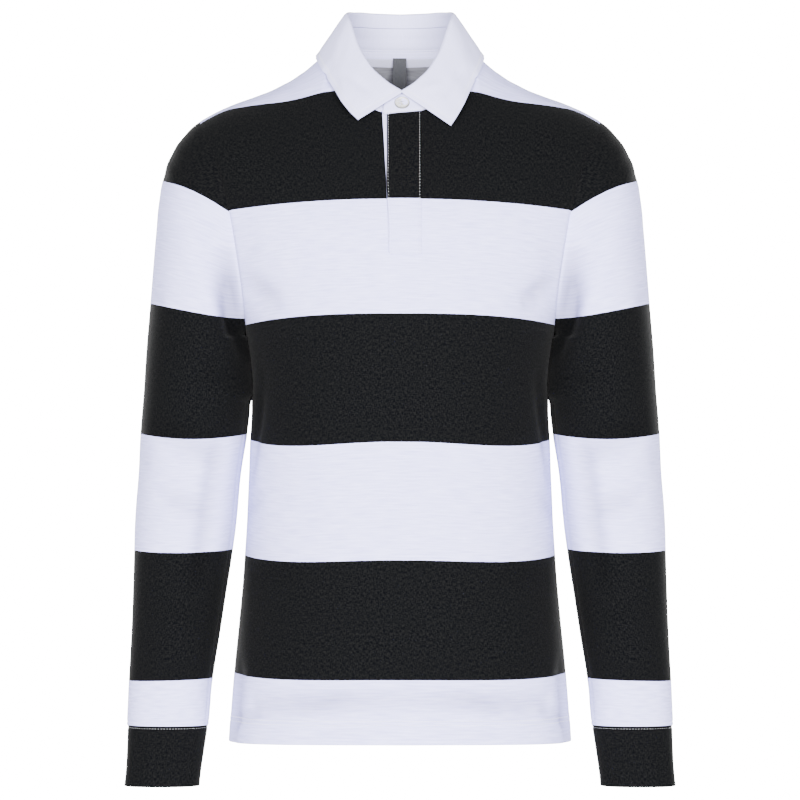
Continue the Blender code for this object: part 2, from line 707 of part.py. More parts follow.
def armhole_edge():
    """The left armhole's points: tip of the shoulder, front, underarm, back."""
    front_edge = [row[-1] for row in front_grid[UNDERARM_ROW:]]
    del front_edge[-2]
    back_edge = [row[0] for row in back_grid[UNDERARM_ROW + 1:NECKLINE_ROW + 1]]
    return front_edge[::-1] + back_edge


def power(value, exponent):
    """Signed power, for rounded outlines."""
    return math.copysign(abs(value) ** exponent, value)


def ring_parts(ring):
    """Centre, reach across and half depth of a sleeve ring."""
    outer = Vector((ring.outer_x, 0.0, ring.outer_height))
    inner = Vector((ring.inner_x, 0.0, ring.inner_height))
    centre = (outer + inner) / 2
    centre.y = (ring.front + ring.back) / 2
    return centre, (outer - inner) / 2, (ring.back - ring.front) / 2


def ring_point(ring, angle, full):
    """Point of a ring, by the angle from its outer side towards the front."""
    centre, reach, half = ring_parts(ring)
    point = centre + reach * power(math.cos(angle), 2 / full)
    point.y -= half * power(math.sin(angle), 2 / full)
    point.z -= ring.sag * math.sin(angle) ** 2
    return point


def sleeve_rings():
    """Rows of points of the left sleeve, with the armhole's shape in its cap."""
    edge = armhole_edge()
    centre, reach, half = ring_parts(SLEEVE[0])
    angles = []
    for point in edge:
        across = (point - centre).dot(reach) / reach.length_squared
        deep = (centre.y - point.y) / half
        angle = math.atan2(power(deep, SLEEVE_FULL / 2), power(across, SLEEVE_FULL / 2))
        angles.append(angle % (2 * math.pi))
    shape = [point - ring_point(SLEEVE[0], angle, SLEEVE_FULL)
             for point, angle in zip(edge, angles)]
    rings = []
    for index, ring in enumerate(SLEEVE):
        kept = max(1 - index / CAP_RINGS, 0.0) ** 2
        evened = smooth(min(index / (2 * CAP_RINGS), 1.0))
        points = []
        for station, angle in enumerate(angles):
            even = angles[0] + 2 * math.pi * station / len(edge)
            turn = mix(angle, even, evened)
            point = ring_point(ring, turn, SLEEVE_FULL)
            flat = point - ring_parts(ring)[0]
            flat.z = 0.0
            folds = SLEEVE_FRONT_FOLDS if turn < math.pi else SLEEVE_BACK_FOLDS
            out = min(turn, 2 * math.pi - turn) / math.pi
            depth = trough(folds, SLEEVE_GIRTH, out, point.z) * (1 - kept)
            points.append(point + shape[station] * kept - flat.normalized() * depth)
        rings.append(points)
    for station, angle in enumerate(angles):
        first, second = rings[0][station], rings[1][station]
        gap = SEAM_GAP + CAP_GAP * (1 + math.cos(angle)) / 2
        first = pull_back(first, second, gap)
        first.x += CAP_GAP * (1 - math.cos(angle)) / 2
        rings[0][station] = first
    return rings


def sleeve_measure(index, point):
    """Measure up the sleeve's cloth, in step with the hoops of the body."""
    marks = sorted(HOOP_RINGS)
    if index >= marks[0]:
        low = max(mark for mark in marks if mark <= index)
        high = min(mark for mark in marks if mark >= index)
        part = (index - low) / max(high - low, 1)
        return mix(HOOP_RINGS[low], HOOP_RINGS[high], part)
    foot = HOOP_RINGS[marks[0]]
    lower = SLEEVE[marks[0]].outer_height
    middle = follow(SLEEVE_UPPER, "x", "height", point.x)
    upper = follow(SLEEVE_BREAST, "x", "height", point.x)
    if point.z < middle:
        return foot + STRIPE_PITCH * (point.z - lower) / (middle - lower)
    if point.z < upper:
        return foot + STRIPE_PITCH * (1 + (point.z - middle) / (upper - middle))
    return foot + STRIPE_PITCH * 2 + min(point.z - upper, STRIPE_PITCH * 0.95)


def mirrored(rows):
    """The same rows on the other side of the shirt."""
    return [[Vector((-point.x, point.y, point.z)) for point in row] for row in rows]


left_sleeve = sleeve_rings()
sleeve_courses = [[sleeve_measure(index, point) for point in ring]
                  for index, ring in enumerate(left_sleeve)]
cloth("sleeve_left", left_sleeve, JERSEY_WALL, hooped_jersey("hooped_jersey_sleeve_left"),
      closed=True, measure=sleeve_courses)
cloth("sleeve_right", mirrored(left_sleeve), JERSEY_WALL,
      hooped_jersey("hooped_jersey_sleeve_right"), closed=True, flip=True,
      measure=sleeve_courses)

# Cuffs: plain black jersey, doubled
left_cuff = [[ring_point(ring, 2 * math.pi * station / CUFF_STATIONS, SLEEVE_FULL)
              for station in range(CUFF_STATIONS)] for ring in CUFF]
cloth("cuff_left", left_cuff, CUFF_WALL, paint("black_jersey_cuff_left", BLACK, 0.9),
      closed=True)
cloth("cuff_right", mirrored(left_cuff), CUFF_WALL,
      paint("black_jersey_cuff_right", BLACK, 0.9), closed=True, flip=True)


# Placket: the top layer is the front's own jersey, faced back under the stand;
# the under layer is white drill that fills the slot


def front_surface(row, x):
    """Point of the front, near its centre line, where a row passes x."""
    near = front_grid[row][CENTRE - 2:CENTRE + 3]
    for left, right in zip(near, near[1:]):
        if left.x <= x <= right.x or right is near[-1]:
            return mix(left, right, (x - left.x) / (right.x - left.x))
    return near[0].copy()


def front_outward(row):
    """Unit vector off the front at its centre line."""
    last = len(front_grid) - 1
    low, high = front_grid[max(row - 1, 0)][CENTRE], front_grid[min(row + 1, last)][CENTRE]
    rise = (high - low).normalized()
    return Vector((0.0, -rise.z, rise.y))


TOP_ROWS = range(SLOT_ROW - 1, len(front_grid))
placket_top = []
for row in TOP_ROWS:
    climb = (row - TOP_ROWS[0]) / (len(TOP_ROWS) - 1)
    free_edge = mix(PLACKET_EDGE_FOOT, PLACKET_EDGE_TOP, climb)
    lift = front_outward(row) * PLACKET_LIFT
    placket_top.append([front_surface(row, x) + lift
                        for x in (free_edge, 0.0, PLACKET_RIGHT_X, PLACKET_RIGHT_X + PLACKET_LAP)])
front_measures = row_measures(FRONT, front_grid)
cloth("placket_top", placket_top, JERSEY_WALL, hooped_jersey("hooped_jersey_placket"),
      measure=[front_measures[row][:4] for row in TOP_ROWS])

placket_under = []
for row in range(SLOT_ROW, len(front_grid)):
    slot_left = front_grid[row][CENTRE - 1].x + SEAM_GAP
    slot_right = PLACKET_RIGHT_X - SEAM_GAP
    placket_under.append([front_surface(row, x) for x in (slot_left, 0.0, slot_right)])
placket_under[0] = [pull_back(low, high, SEAM_GAP)
                    for low, high in zip(placket_under[0], placket_under[1])]
cloth("placket_under", placket_under, DRILL_WALL, paint("white_drill_placket", WHITE, 0.8))

# Collar stand: one strip round the neck, its ends crossed at the front


def neckline():
    """The panels' neckline, from the centre front round by the wearer's right."""
    reach = range(NECK_COLUMNS + 1)
    forward, seam = back_grid[NECKLINE_ROW + 1], back_grid[NECKLINE_ROW]
    points = [front_grid[-1][CENTRE]]
    points += [front_grid[-1][CENTRE - 1 - column] for column in reach]
    points += [forward[SIDE_COLUMNS + NECK_COLUMNS]]
    points += [seam[SIDE_COLUMNS + column] for column in reversed(reach)]
    points += [seam[SIDE_COLUMNS - column] for column in reach[1:]]
    points += [forward[SIDE_COLUMNS - NECK_COLUMNS]]
    points += [front_grid[-1][CENTRE + 1 + column] for column in reversed(reach)]
    return points


def spread_of(point):
    """Angle round the neck, from the centre front, whichever the side."""
    return math.atan2(abs(point.x) / NECK_POINT_X, -point.y / abs(NECK_FRONT_Y))


def stand_top(angle, side):
    """Top edge of the stand, outer side, by the angle from the centre front."""
    depth = STAND_FRONT_Y if angle < math.pi / 2 else -STAND_BACK_Y
    height = follow(STAND_TOPS, "angle", "height", math.degrees(angle))
    return Vector((side * STAND_REACH_X * math.sin(angle), depth * math.cos(angle), height))


def stand_column(foot, lift):
    """Points of the stand above a point of the neckline."""
    side = 1 if foot.x > 0 else -1
    head = stand_top(spread_of(foot), side)
    rise = (head - foot).normalized()
    flat = Vector((foot.x / NECK_POINT_X, foot.y / abs(NECK_FRONT_Y), 0.0)).normalized()
    foot = foot + front_outward(len(front_grid) - 1) * lift + rise * SEAM_GAP
    head = head + (flat - rise * flat.dot(rise)).normalized() * lift
    return [mix(foot, head, part) for part in STAND_ROWS]


edge = neckline()
stand = [stand_column(front_surface(len(front_grid) - 1, STAND_UNDER_X), 0.0)]
stand += [stand_column(foot, 0.0) for foot in edge[:-4]]
for foot in edge[-4:] + [front_surface(len(front_grid) - 1, 0.0),
                         front_surface(len(front_grid) - 1, STAND_OVER_X)]:
    part = (STAND_LIFTS_FROM_X - foot.x) / (STAND_LIFTS_FROM_X - PLACKET_RIGHT_X)
    stand.append(stand_column(foot, STAND_LIFT * smooth(min(max(part, 0.0), 1.0))))
stand[-1][0] += Vector((STAND_CORNER * 0.6, 0.0, STAND_CORNER * 0.5))
stand = [list(row) for row in zip(*stand)]
cloth("collar_stand", stand, DRILL_WALL, paint("white_drill_stand", WHITE, 0.8), flip=True)


# Collar leaf: sewn to the stand's top edge, turned over outward


def fold_point(angle, side):
    """Top of the collar's roll, by the angle from the centre front."""
    depth = FOLD_FRONT_Y if angle < math.pi / 2 else -FOLD_BACK_Y
    height = follow(FOLD_HEIGHTS, "angle", "height", math.degrees(angle))
    return Vector((side * FOLD_REACH_X * math.sin(angle), depth * math.cos(angle), height))


def laid_on(point, cloth_below):
    """The point, moved out if it doesn't clear the cloth beneath it."""
    nearest, normal, _, _ = cloth_below.find_nearest(point)
    height = (point - nearest).dot(normal)
    return point + normal * max(LEAF_REST - height, 0.0)


def leaf_profile(angle, side, cloth_below):
    """The leaf from the stand's top edge over the fold to its outer edge."""
    table = LEAF_LEFT if side > 0 else LEAF_RIGHT
    degrees = math.degrees(angle)
    foot = stand_top(angle, side)
    fold = fold_point(angle, side)
    away = Vector((fold.x, fold.y, 0.0)).normalized()
    rise = Vector((0.0, 0.0, 1.0))
    start = foot - away * DRILL_WALL + rise * LEAF_GAP
    edge = Vector([follow(table, "angle", key, degrees) for key in ("x", "y", "height")])
    over = fold + away * FOLD_HALF - rise * FOLD_DROP
    run = edge - over
    off = away - run * (away.dot(run) / run.length_squared)
    bulge = off.normalized() * LEAF_BULGE * smooth(min(degrees / 40, 1.0))
    fall = [mix(over, edge, 0.33) + bulge, mix(over, edge, 0.68) + bulge * 0.8, edge]
    climb = fold.z - start.z
    back = fold - away * FOLD_HALF - rise * climb * 0.12
    inward = min((back - start).dot(away), 0.0)
    return [start,
            start + rise * climb * 0.5 + away * inward * 0.5,
            back,
            fold,
            over] + [laid_on(point, cloth_below) for point in fall]


def outer_surface(grid, skip):
    """Corners of the cells on the outer side of a panel."""
    return [[grid[row][column], grid[row][column + 1],
             grid[row + 1][column + 1], grid[row + 1][column]]
            for row in range(UNDERARM_ROW, len(grid) - 1)
            for column in range(len(grid[0]) - 1) if not skip(row, column)]


cells = outer_surface(front_grid, in_slot) + outer_surface(back_grid, above_back_neck)
panels = BVHTree.FromPolygons([corner for cell in cells for corner in cell],
                              [range(index * 4, index * 4 + 4) for index in range(len(cells))])
leaf = [leaf_profile(LEAF_FRONT_ANGLE, -1, panels)]
leaf += [leaf_profile(spread_of(foot), 1 if foot.x > 0 else -1, panels) for foot in edge[1:]]
leaf += [leaf_profile(LEAF_FRONT_ANGLE, 1, panels)]
leaf = [list(row) for row in zip(*leaf)]
cloth("collar_leaf", leaf, DRILL_WALL, paint("white_drill_leaf", WHITE, 0.8))

# Neck tape: over the back neck seam, inside, from one shoulder seam to the other
neck_tape = []
for row in (NECKLINE_ROW - 1, NECKLINE_ROW):
    points = []
    for column in range(SIDE_COLUMNS - NECK_COLUMNS, SIDE_COLUMNS + NECK_COLUMNS + 1):
        right = back_grid[row][column + 1] - back_grid[row][column - 1]
        rise = back_grid[NECKLINE_ROW][column] - back_grid[NECKLINE_ROW - 1][column]
        off = right.cross(rise).normalized()
        points.append(back_grid[row][column] - off * (JERSEY_WALL + SEAM_GAP))
    neck_tape.append(points)
cloth("neck_tape", neck_tape, TAPE_WALL, paint("white_tape", (0.60, 0.60, 0.67), 0.8))

# Neck label: a plain woven strip that hangs from the tape
label = [[Vector((x, LABEL_Y, height)) for x in (LABEL_RIGHT_X, LABEL_LEFT_X)]
         for height in (LABEL_TOP - LABEL_LENGTH, LABEL_TOP)]
cloth("neck_label", label, LABEL_WALL, paint("grey_label", (0.10, 0.10, 0.11), 0.8))

# Button: a turned disc with a rim, sewn flat on the stand's outer end
BUTTON_PROFILE = (          # radius and height, from the middle of its face outward
    (0.0, 0.20), (0.64, 0.20), (0.72, 0.50), (0.90, 0.50), (1.0, 0.28), (1.0, -0.25),
    (0.84, -0.50), (0.0, -0.50),
)
outline = bpy.data.meshes.new("button")
outline.from_pydata(
    [(BUTTON_RADIUS * out, 0.0, BUTTON_THICKNESS * up) for out, up in BUTTON_PROFILE],
    [(index, index + 1) for index in range(len(BUTTON_PROFILE) - 1)], [])
outline.materials.append(paint("button_resin", (0.73, 0.73, 0.75), 0.3))
button = bpy.data.objects.new("button", outline)
shirt.objects.link(button)
foot, head = stand[0][-2], stand[-1][-2]
rise = (head - foot).normalized()
facing = Vector((0.0, -rise.z, rise.y))
button.location = mix(foot, head, BUTTON_SHARE) + facing * (BUTTON_THICKNESS / 2 + BUTTON_SHANK)
button.location.x = BUTTON_X
button.rotation_euler.x = math.atan2(rise.z, rise.y)
turning = button.modifiers.new("Turn", "SCREW")
turning.steps = 24
turning.render_steps = 24
turning.use_merge_vertices = True
turning.merge_threshold = 0.00001
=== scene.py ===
"""Long-sleeved rugby shirt: its cloth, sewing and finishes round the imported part.

Metres, in the part's own frame: the front faces -Y, +X is the wearer's left.
"""
import math
from bisect import bisect_left
from collections import namedtuple

import bpy
import numpy as np
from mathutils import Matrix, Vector
from mathutils.bvhtree import BVHTree


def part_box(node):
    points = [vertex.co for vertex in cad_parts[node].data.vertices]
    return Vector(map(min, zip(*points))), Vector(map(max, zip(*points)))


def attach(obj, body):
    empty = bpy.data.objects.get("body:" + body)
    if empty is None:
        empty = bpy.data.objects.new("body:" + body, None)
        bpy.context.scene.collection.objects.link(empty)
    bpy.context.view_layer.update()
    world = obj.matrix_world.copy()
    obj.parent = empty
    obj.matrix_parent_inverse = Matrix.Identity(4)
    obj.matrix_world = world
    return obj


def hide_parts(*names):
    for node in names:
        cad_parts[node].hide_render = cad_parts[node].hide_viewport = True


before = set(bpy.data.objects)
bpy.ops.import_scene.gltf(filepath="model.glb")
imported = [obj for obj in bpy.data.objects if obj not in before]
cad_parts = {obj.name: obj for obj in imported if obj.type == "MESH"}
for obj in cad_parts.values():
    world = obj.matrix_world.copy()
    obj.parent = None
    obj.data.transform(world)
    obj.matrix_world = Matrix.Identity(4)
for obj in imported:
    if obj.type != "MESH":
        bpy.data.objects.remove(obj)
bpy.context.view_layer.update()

# --- Front and back -----------------------------------------------------------
# Two panels of heavy cotton jersey, knitted in broad black and white hoops, and
# sewn at the sides and shoulders so that the hoops meet.  The front is slotted at
# the neck for the placket, and both hems are turned up and twin-needled.
HEM_STRIPE = 0.064
STRIPE_PITCH = 0.120
JERSEY_WALL = 0.0009

UNDERARM_X = 0.1540
UNDERARM_HEIGHT = -0.276
CHEST_HEIGHT = -0.180
SHOULDER_TIP_X = 0.2008
SHOULDER_TIP_Y = 0.010
NECK_POINT_X = 0.074
NECK_FRONT_HEIGHT = -0.060
NECK_FRONT_TURN = math.radians(78)
NECK_FALL = 1.35
SEAM_LEAN = math.radians(78)
NECK_SHARE = 0.377          # of the way out, where the neckline meets the seam

Level = namedtuple("Level", "height half_width front back full")
BODY = (
    Level(-0.6840, 0.1709, 0.125, 0.125, 2.30),
    Level(-0.6170, 0.1660, 0.124, 0.126, 2.30),
    Level(-0.5580, 0.1602, 0.121, 0.119, 2.30),
    Level(-0.4980, 0.1552, 0.118, 0.108, 2.30),
    Level(-0.4400, 0.1520, 0.115, 0.100, 2.30),
    Level(-0.3850, 0.1499, 0.115, 0.098, 2.28),
    Level(-0.3390, 0.1483, 0.120, 0.104, 2.25),
    Level(-0.3030, 0.1502, 0.127, 0.114, 2.20),
    Level(-0.2760, 0.1540, 0.132, 0.122, 2.15),
    Level(-0.1800, 0.1540, 0.135, 0.130, 2.05),
)
Ridge = namedtuple("Ridge", "x height")
RIDGE = (
    Ridge(0.0740, 0.0060), Ridge(0.0878, -0.0070), Ridge(0.1010, -0.0170),
    Ridge(0.1183, -0.0271), Ridge(0.1426, -0.0376), Ridge(0.1717, -0.0483),
    Ridge(0.1932, -0.0588), Ridge(0.2008, -0.0630),
)
Course = namedtuple("Course", "centre side bow sag")
FRONT_COURSES = (
    Course(-0.6779, -0.6812, 2.5, 0.0000),
    Course(-0.6154, -0.6135, 7.0, 0.0010),
    Course(-0.4984, -0.4965, 2.5, 0.0030),
    Course(-0.3827, -0.3815, 24.0, 0.0045),
    Course(-0.2576, -0.2684, 2.8, 0.0000),
    Course(-0.1458, -0.1555, 2.3, 0.0000),
)
BACK_COURSES = (
    Course(-0.6812, -0.6812, 2.5, 0.0000),
    Course(-0.6160, -0.6165, 2.5, 0.0010),
    Course(-0.4975, -0.4965, 2.5, 0.0010),
    Course(-0.3840, -0.3850, 2.5, 0.0010),
    Course(-0.2610, -0.2684, 2.5, 0.0000),
    Course(-0.1470, -0.1555, 2.5, 0.0000),
)
CHEST_LINE = Course(CHEST_HEIGHT, CHEST_HEIGHT, 2.5, 0.0)
FRONT_SHOULDER_COURSE = (
    Ridge(0.0000, -0.0340), Ridge(0.0790, -0.0386), Ridge(0.0990, -0.0432),
    Ridge(0.1390, -0.0481), Ridge(0.1590, -0.0505), Ridge(0.1790, -0.0547),
    Ridge(0.1900, -0.0587), Ridge(0.2008, -0.0640),
)
BACK_YOKE_HEIGHT, BACK_YOKE_DROP, BACK_YOKE_FALL = -0.036, 0.028, 2.2
Panel = namedtuple("Panel", "facing depth courses arm_x arm_y neck_y neck_height crown")
FRONT = Panel(-1, "front", FRONT_COURSES, 0.1650, -0.079, -0.072, -0.060, (1.45, 2.0))
BACK = Panel(1, "back", BACK_COURSES, 0.1710, 0.082, 0.066, 0.004, (1.60, 2.0))

# Troughs between two points of the cloth.  "out" is the share of the way from the
# centre line to the side, and a negative depth is a ridge.  How deep a point lies in a
# trough is also painted into the cloth's colour as shade.
Fold = namedtuple("Fold", "low_out low_height high_out high_height width depth")
PANEL_GIRTH = 0.24
FRONT_FOLDS = (
    Fold(0.84, -0.690, 0.80, -0.610, 0.016, 0.0045),
    Fold(0.86, -0.420, 0.70, -0.320, 0.016, 0.0036),
    Fold(0.96, -0.222, 0.64, -0.246, 0.0120, 0.0046),
    Fold(0.97, -0.206, 0.78, -0.192, 0.0090, 0.0014),
    Fold(0.97, -0.611, 0.72, -0.613, 0.004, 0.0011),
    Fold(0.62, -0.642, -0.10, -0.633, 0.0110, 0.0055),
    Fold(0.34, -0.646, 0.14, -0.630, 0.0050, 0.0018),
    Fold(0.30, -0.672, 0.06, -0.664, 0.0060, 0.0012),
    Fold(0.90, -0.664, 0.60, -0.650, 0.0080, 0.0026),
    Fold(0.22, -0.452, 0.36, -0.462, 0.0050, 0.0009),
    Fold(0.70, -0.520, 0.40, -0.512, 0.0120, 0.0016),
    Fold(0.95, -0.455, 0.70, -0.440, 0.0100, 0.0020),
)
# Places under the arm where shade is painted into the colour as in the folds, though the cloth is flat
# there.
UNDERARM_SHADES = (
    Fold(1.00, -0.352, 1.00, -0.262, 0.0120, 0.0060),
    Fold(1.00, -0.270, 0.99, -0.170, 0.0040, 0.0025),
    Fold(1.00, -0.700, 1.00, -0.380, 0.0220, 0.0024),
)
DEEPEST_FOLD = 0.010        # from here on a fold's painted shade gets no darker
BACK_FOLDS = (
    Fold(0.80, -0.690, 0.74, -0.600, 0.018, 0.0045),
    Fold(0.90, -0.400, 0.66, -0.290, 0.020, 0.0045),
    Fold(0.46, -0.470, 0.40, -0.330, 0.022, 0.0035),
    Fold(0.96, -0.225, 0.70, -0.200, 0.012, 0.0012),
    Fold(0.78, -0.430, 0.30, -0.446, 0.010, 0.0016),
    Fold(0.66, -0.410, 0.24, -0.419, 0.008, 0.0011),
    Fold(0.94, -0.470, 0.66, -0.452, 0.010, 0.0012),
    Fold(0.60, -0.655, 0.20, -0.642, 0.010, 0.0012),
    Fold(0.34, -0.110, 0.10, -0.098, 0.012, 0.0008),
)


def curve(table, key, column):
    """A smooth curve through a table's column, as a function of its key column."""
    keys = [getattr(row, key) for row in table]
    values = [getattr(row, column) for row in table]
    steps = [after - before for before, after in zip(keys, keys[1:])]
    rates = [(b - a) / step for a, b, step in zip(values, values[1:], steps)]
    slopes = [rates[0]]
    for i in range(1, len(steps)):
        weighed = rates[i - 1] * steps[i] + rates[i] * steps[i - 1]
        slopes.append(weighed / (steps[i - 1] + steps[i]))
    slopes.append(rates[-1])

    def at(place):
        place = min(max(place, keys[0]), keys[-1])
        i = max(bisect_left(keys, place) - 1, 0)
        part = (place - keys[i]) / steps[i]
        first = values[i] + part * steps[i] * slopes[i]
        last = values[i + 1] - (1 - part) * steps[i] * slopes[i + 1]
        return first + (last - first) * smooth(part)

    return at


def mix(first, last, part):
    """Value part of the way from first to last."""
    return first + (last - first) * part


def smooth(part):
    """Part of the way, eased in and out."""
    return part * part * (3 - 2 * part)


def clamp(part):
    """Part of the way, held between 0 and 1."""
    return min(max(part, 0.0), 1.0)


body_width = curve(BODY, "height", "half_width")
body_full = curve(BODY, "height", "full")
body_depth = {"front": curve(BODY, "height", "front"), "back": curve(BODY, "height", "back")}
ridge_height = curve(RIDGE, "x", "height")
front_shoulder_course = curve(FRONT_SHOULDER_COURSE, "x", "height")


def armhole_point(panel, height):
    """Where the armhole passes a height between the underarm and the chest."""
    drop = clamp((CHEST_HEIGHT - height) / (CHEST_HEIGHT - UNDERARM_HEIGHT))
    x = UNDERARM_X + (panel.arm_x - UNDERARM_X) * (1 - drop) ** 1.5
    return x, abs(panel.arm_y) * math.sqrt(1 - drop * drop)


def section(panel, height):
    """Half width, depth and exponent of the body's outline at a height."""
    full, depth = body_full(height), body_depth[panel.depth](height)
    if height <= UNDERARM_HEIGHT:
        return body_width(height), depth, full
    x, y = armhole_point(panel, height)
    return x / (1 - (y / depth) ** full) ** (1 / full), depth, full


def side_turn(panel, height):
    """Angle round the outline at which the panel ends, at a height."""
    if height <= UNDERARM_HEIGHT:
        return math.pi / 2
    depth, full = section(panel, height)[1:]
    return math.acos((armhole_point(panel, height)[1] / depth) ** (full / 2))


def course_height(course, spread):
    """Height of a hoop edge, at a share of the way out to the side."""
    bow = (course.side - course.centre) * spread ** course.bow
    return course.centre + bow - 4 * course.sag * spread ** 2 * (1 - spread ** 2)


def row_height(row, spread):
    """Height of a row that lies between two hoop edges."""
    low, high, share = row
    return mix(course_height(low, spread), course_height(high, spread), share)


def lower_point(panel, row, start_x, share):
    """Point below the chest line, a share of the way from start_x to the side."""
    height = row_height(row, 0.0)
    width, depth, full = section(panel, height)
    start = math.asin((start_x / width) ** (full / 2))
    spread = 1.0
    for _ in range(4):
        end = side_turn(panel, row_height(row, spread))
        spread = math.sin(end) ** (2 / full)
    turn = mix(start, end, share)
    for _ in range(3):
        width, depth, full = section(panel, height)
        height = row_height(row, math.sin(turn) ** (2 / full))
    x = width * math.sin(turn) ** (2 / full)
    return x, panel.facing * depth * max(math.cos(turn), 0.0) ** (2 / full), height


def neck_point(panel, turn):
    """Point of the neckline, by the angle from the panel's centre line."""
    ridge = RIDGE[0].height
    height = ridge + (panel.neck_height - ridge) * max(math.cos(turn), 0.0) ** NECK_FALL
    return NECK_POINT_X * math.sin(turn), panel.neck_y * math.cos(turn), height


Crown = namedtuple("Crown", "base top end_x full end_lean")


def crown(panel, start_x, share):
    """The curve of a column from the chest line up to the neck or shoulder."""
    base = lower_point(panel, (CHEST_LINE, CHEST_LINE, 0.0), start_x(CHEST_HEIGHT), share)
    if share >= NECK_SHARE:
        out = (share - NECK_SHARE) / (1 - NECK_SHARE)
        x = mix(NECK_POINT_X, SHOULDER_TIP_X, out)
        top = (x, SHOULDER_TIP_Y * out, ridge_height(x))
        return Crown(base, top, x, mix(*panel.crown, out), math.pi / 2)
    first = math.asin(start_x(NECK_FRONT_HEIGHT) / NECK_POINT_X)
    last = NECK_FRONT_TURN if panel is FRONT else math.pi / 2
    x, y, height = neck_point(panel, mix(first, last, share / NECK_SHARE))
    full = panel.crown[0]
    lean = math.acos((y / base[1]) ** (full / 2))
    rise = (height - base[2]) / math.sin(lean) ** (2 / full)
    return Crown(base, (x, 0.0, base[2] + rise), x, full, lean)


def crown_point(arc, lean):
    """Point of a crown curve, by its angle up from the chest line."""
    up = math.sin(lean) ** (2 / arc.full)
    inward = max(math.cos(lean), 0.0) ** (2 / arc.full)
    part = up / math.sin(arc.end_lean) ** (2 / arc.full)
    x = mix(arc.base[0], arc.end_x, (part + part * part) / 2)
    return x, mix(arc.top[1], arc.base[1], inward), mix(arc.base[2], arc.top[2], up)


def lean_at(arc, height):
    """Angle at which a crown curve reaches a height."""
    up = clamp((height - arc.base[2]) / (arc.top[2] - arc.base[2]))
    return math.asin(up ** (arc.full / 2))


def shoulder_course_height(panel, x):
    """Height of the head of the top black hoop."""
    if panel is FRONT:
        return front_shoulder_course(x)
    return BACK_YOKE_HEIGHT - BACK_YOKE_DROP * (x / SHOULDER_TIP_X) ** BACK_YOKE_FALL


SLOT_RIGHT_X = 0.0205       # edges of the placket's slot, to the wearer's left and right
SLOT_LEFT_FOOT, SLOT_LEFT_TOP = 0.0118, 0.0178
SLOT_WIDENS_FROM, SLOT_WIDENS_TO = -0.155, -0.060


def slot_edge_x(side, height):
    """Distance of the placket slot's edge from the centre line."""
    if side > 0:
        return SLOT_RIGHT_X
    part = clamp((height - SLOT_WIDENS_FROM) / (SLOT_WIDENS_TO - SLOT_WIDENS_FROM))
    return mix(SLOT_LEFT_FOOT, SLOT_LEFT_TOP, smooth(part))


# Measures up the cloth at which the lower rows lie, close together at the hem's
# fold and at its two rows of stitches
HEM_ROWS = (0.0, 0.0010, 0.0030, 0.0070, 0.0110, 0.0150, 0.0180, 0.0190, 0.0200, 0.0220,
            0.0230, 0.0240, 0.0260, 0.0300)
HEM_STITCHES = (0.0190, 0.0230)
HEM_TURNED_ROWS = (9, 5, 3, 2)      # rows that the turned-up cloth lies behind
ROWS_IN_HEM_STRIPE, ROWS_IN_LOW_HOOP = 9, 30
ROWS_TO_UNDERARM, ROWS_PAST_UNDERARM, ROWS_TO_CHEST = 28, 3, 20
ROWS_TO_FOOT, ROWS_IN_HOOP, ROWS_TO_SEAM, ROWS_FORWARD = 9, 28, 12, 4


def lower_rows(panel):
    """The rows from the hem to the chest line, as shares between hoop edges."""
    hem, first, second, third, fourth = panel.courses[:5]
    hem_share = HEM_ROWS[-1] / HEM_STRIPE
    rows = [(hem, first, measure / HEM_STRIPE) for measure in HEM_ROWS]
    rows += [(hem, first, mix(hem_share, 1, i / ROWS_IN_HEM_STRIPE)) for i in range(1, ROWS_IN_HEM_STRIPE)]
    for low, high in ((first, second), (second, third)):
        rows += [(low, high, i / ROWS_IN_LOW_HOOP) for i in range(ROWS_IN_LOW_HOOP)]
    meet = (UNDERARM_HEIGHT - third.side) / (fourth.side - third.side)
    rows += [(third, fourth, meet * i / ROWS_TO_UNDERARM) for i in range(ROWS_TO_UNDERARM)]
    rows += [(third, fourth, mix(meet, 1, i / ROWS_PAST_UNDERARM)) for i in range(ROWS_PAST_UNDERARM)]
    return rows + [(fourth, CHEST_LINE, i / ROWS_TO_CHEST) for i in range(ROWS_TO_CHEST + 1)]


NECK_CELLS, SIDE_CELLS = 20, 34     # from the middle to the neck's column, and on to the seam
SEAM_SHARES = (0.985, 0.990, 0.995, 1.0)
HOOP_EDGES = [0.0] + [HEM_STRIPE + STRIPE_PITCH * i for i in range(6)]
CROWN_REACH = 0.09          # of cloth for each radian over the shoulder
FORWARD_REACH = 0.0035      # of cloth for each row past the top of the shoulder
NECK_HEAD_LIMIT, SEAM_HEAD_LIMIT = 0.80, 0.955      # of the way up, for the top hoop's head
PAST_NECK = NECK_SHARE - 0.001


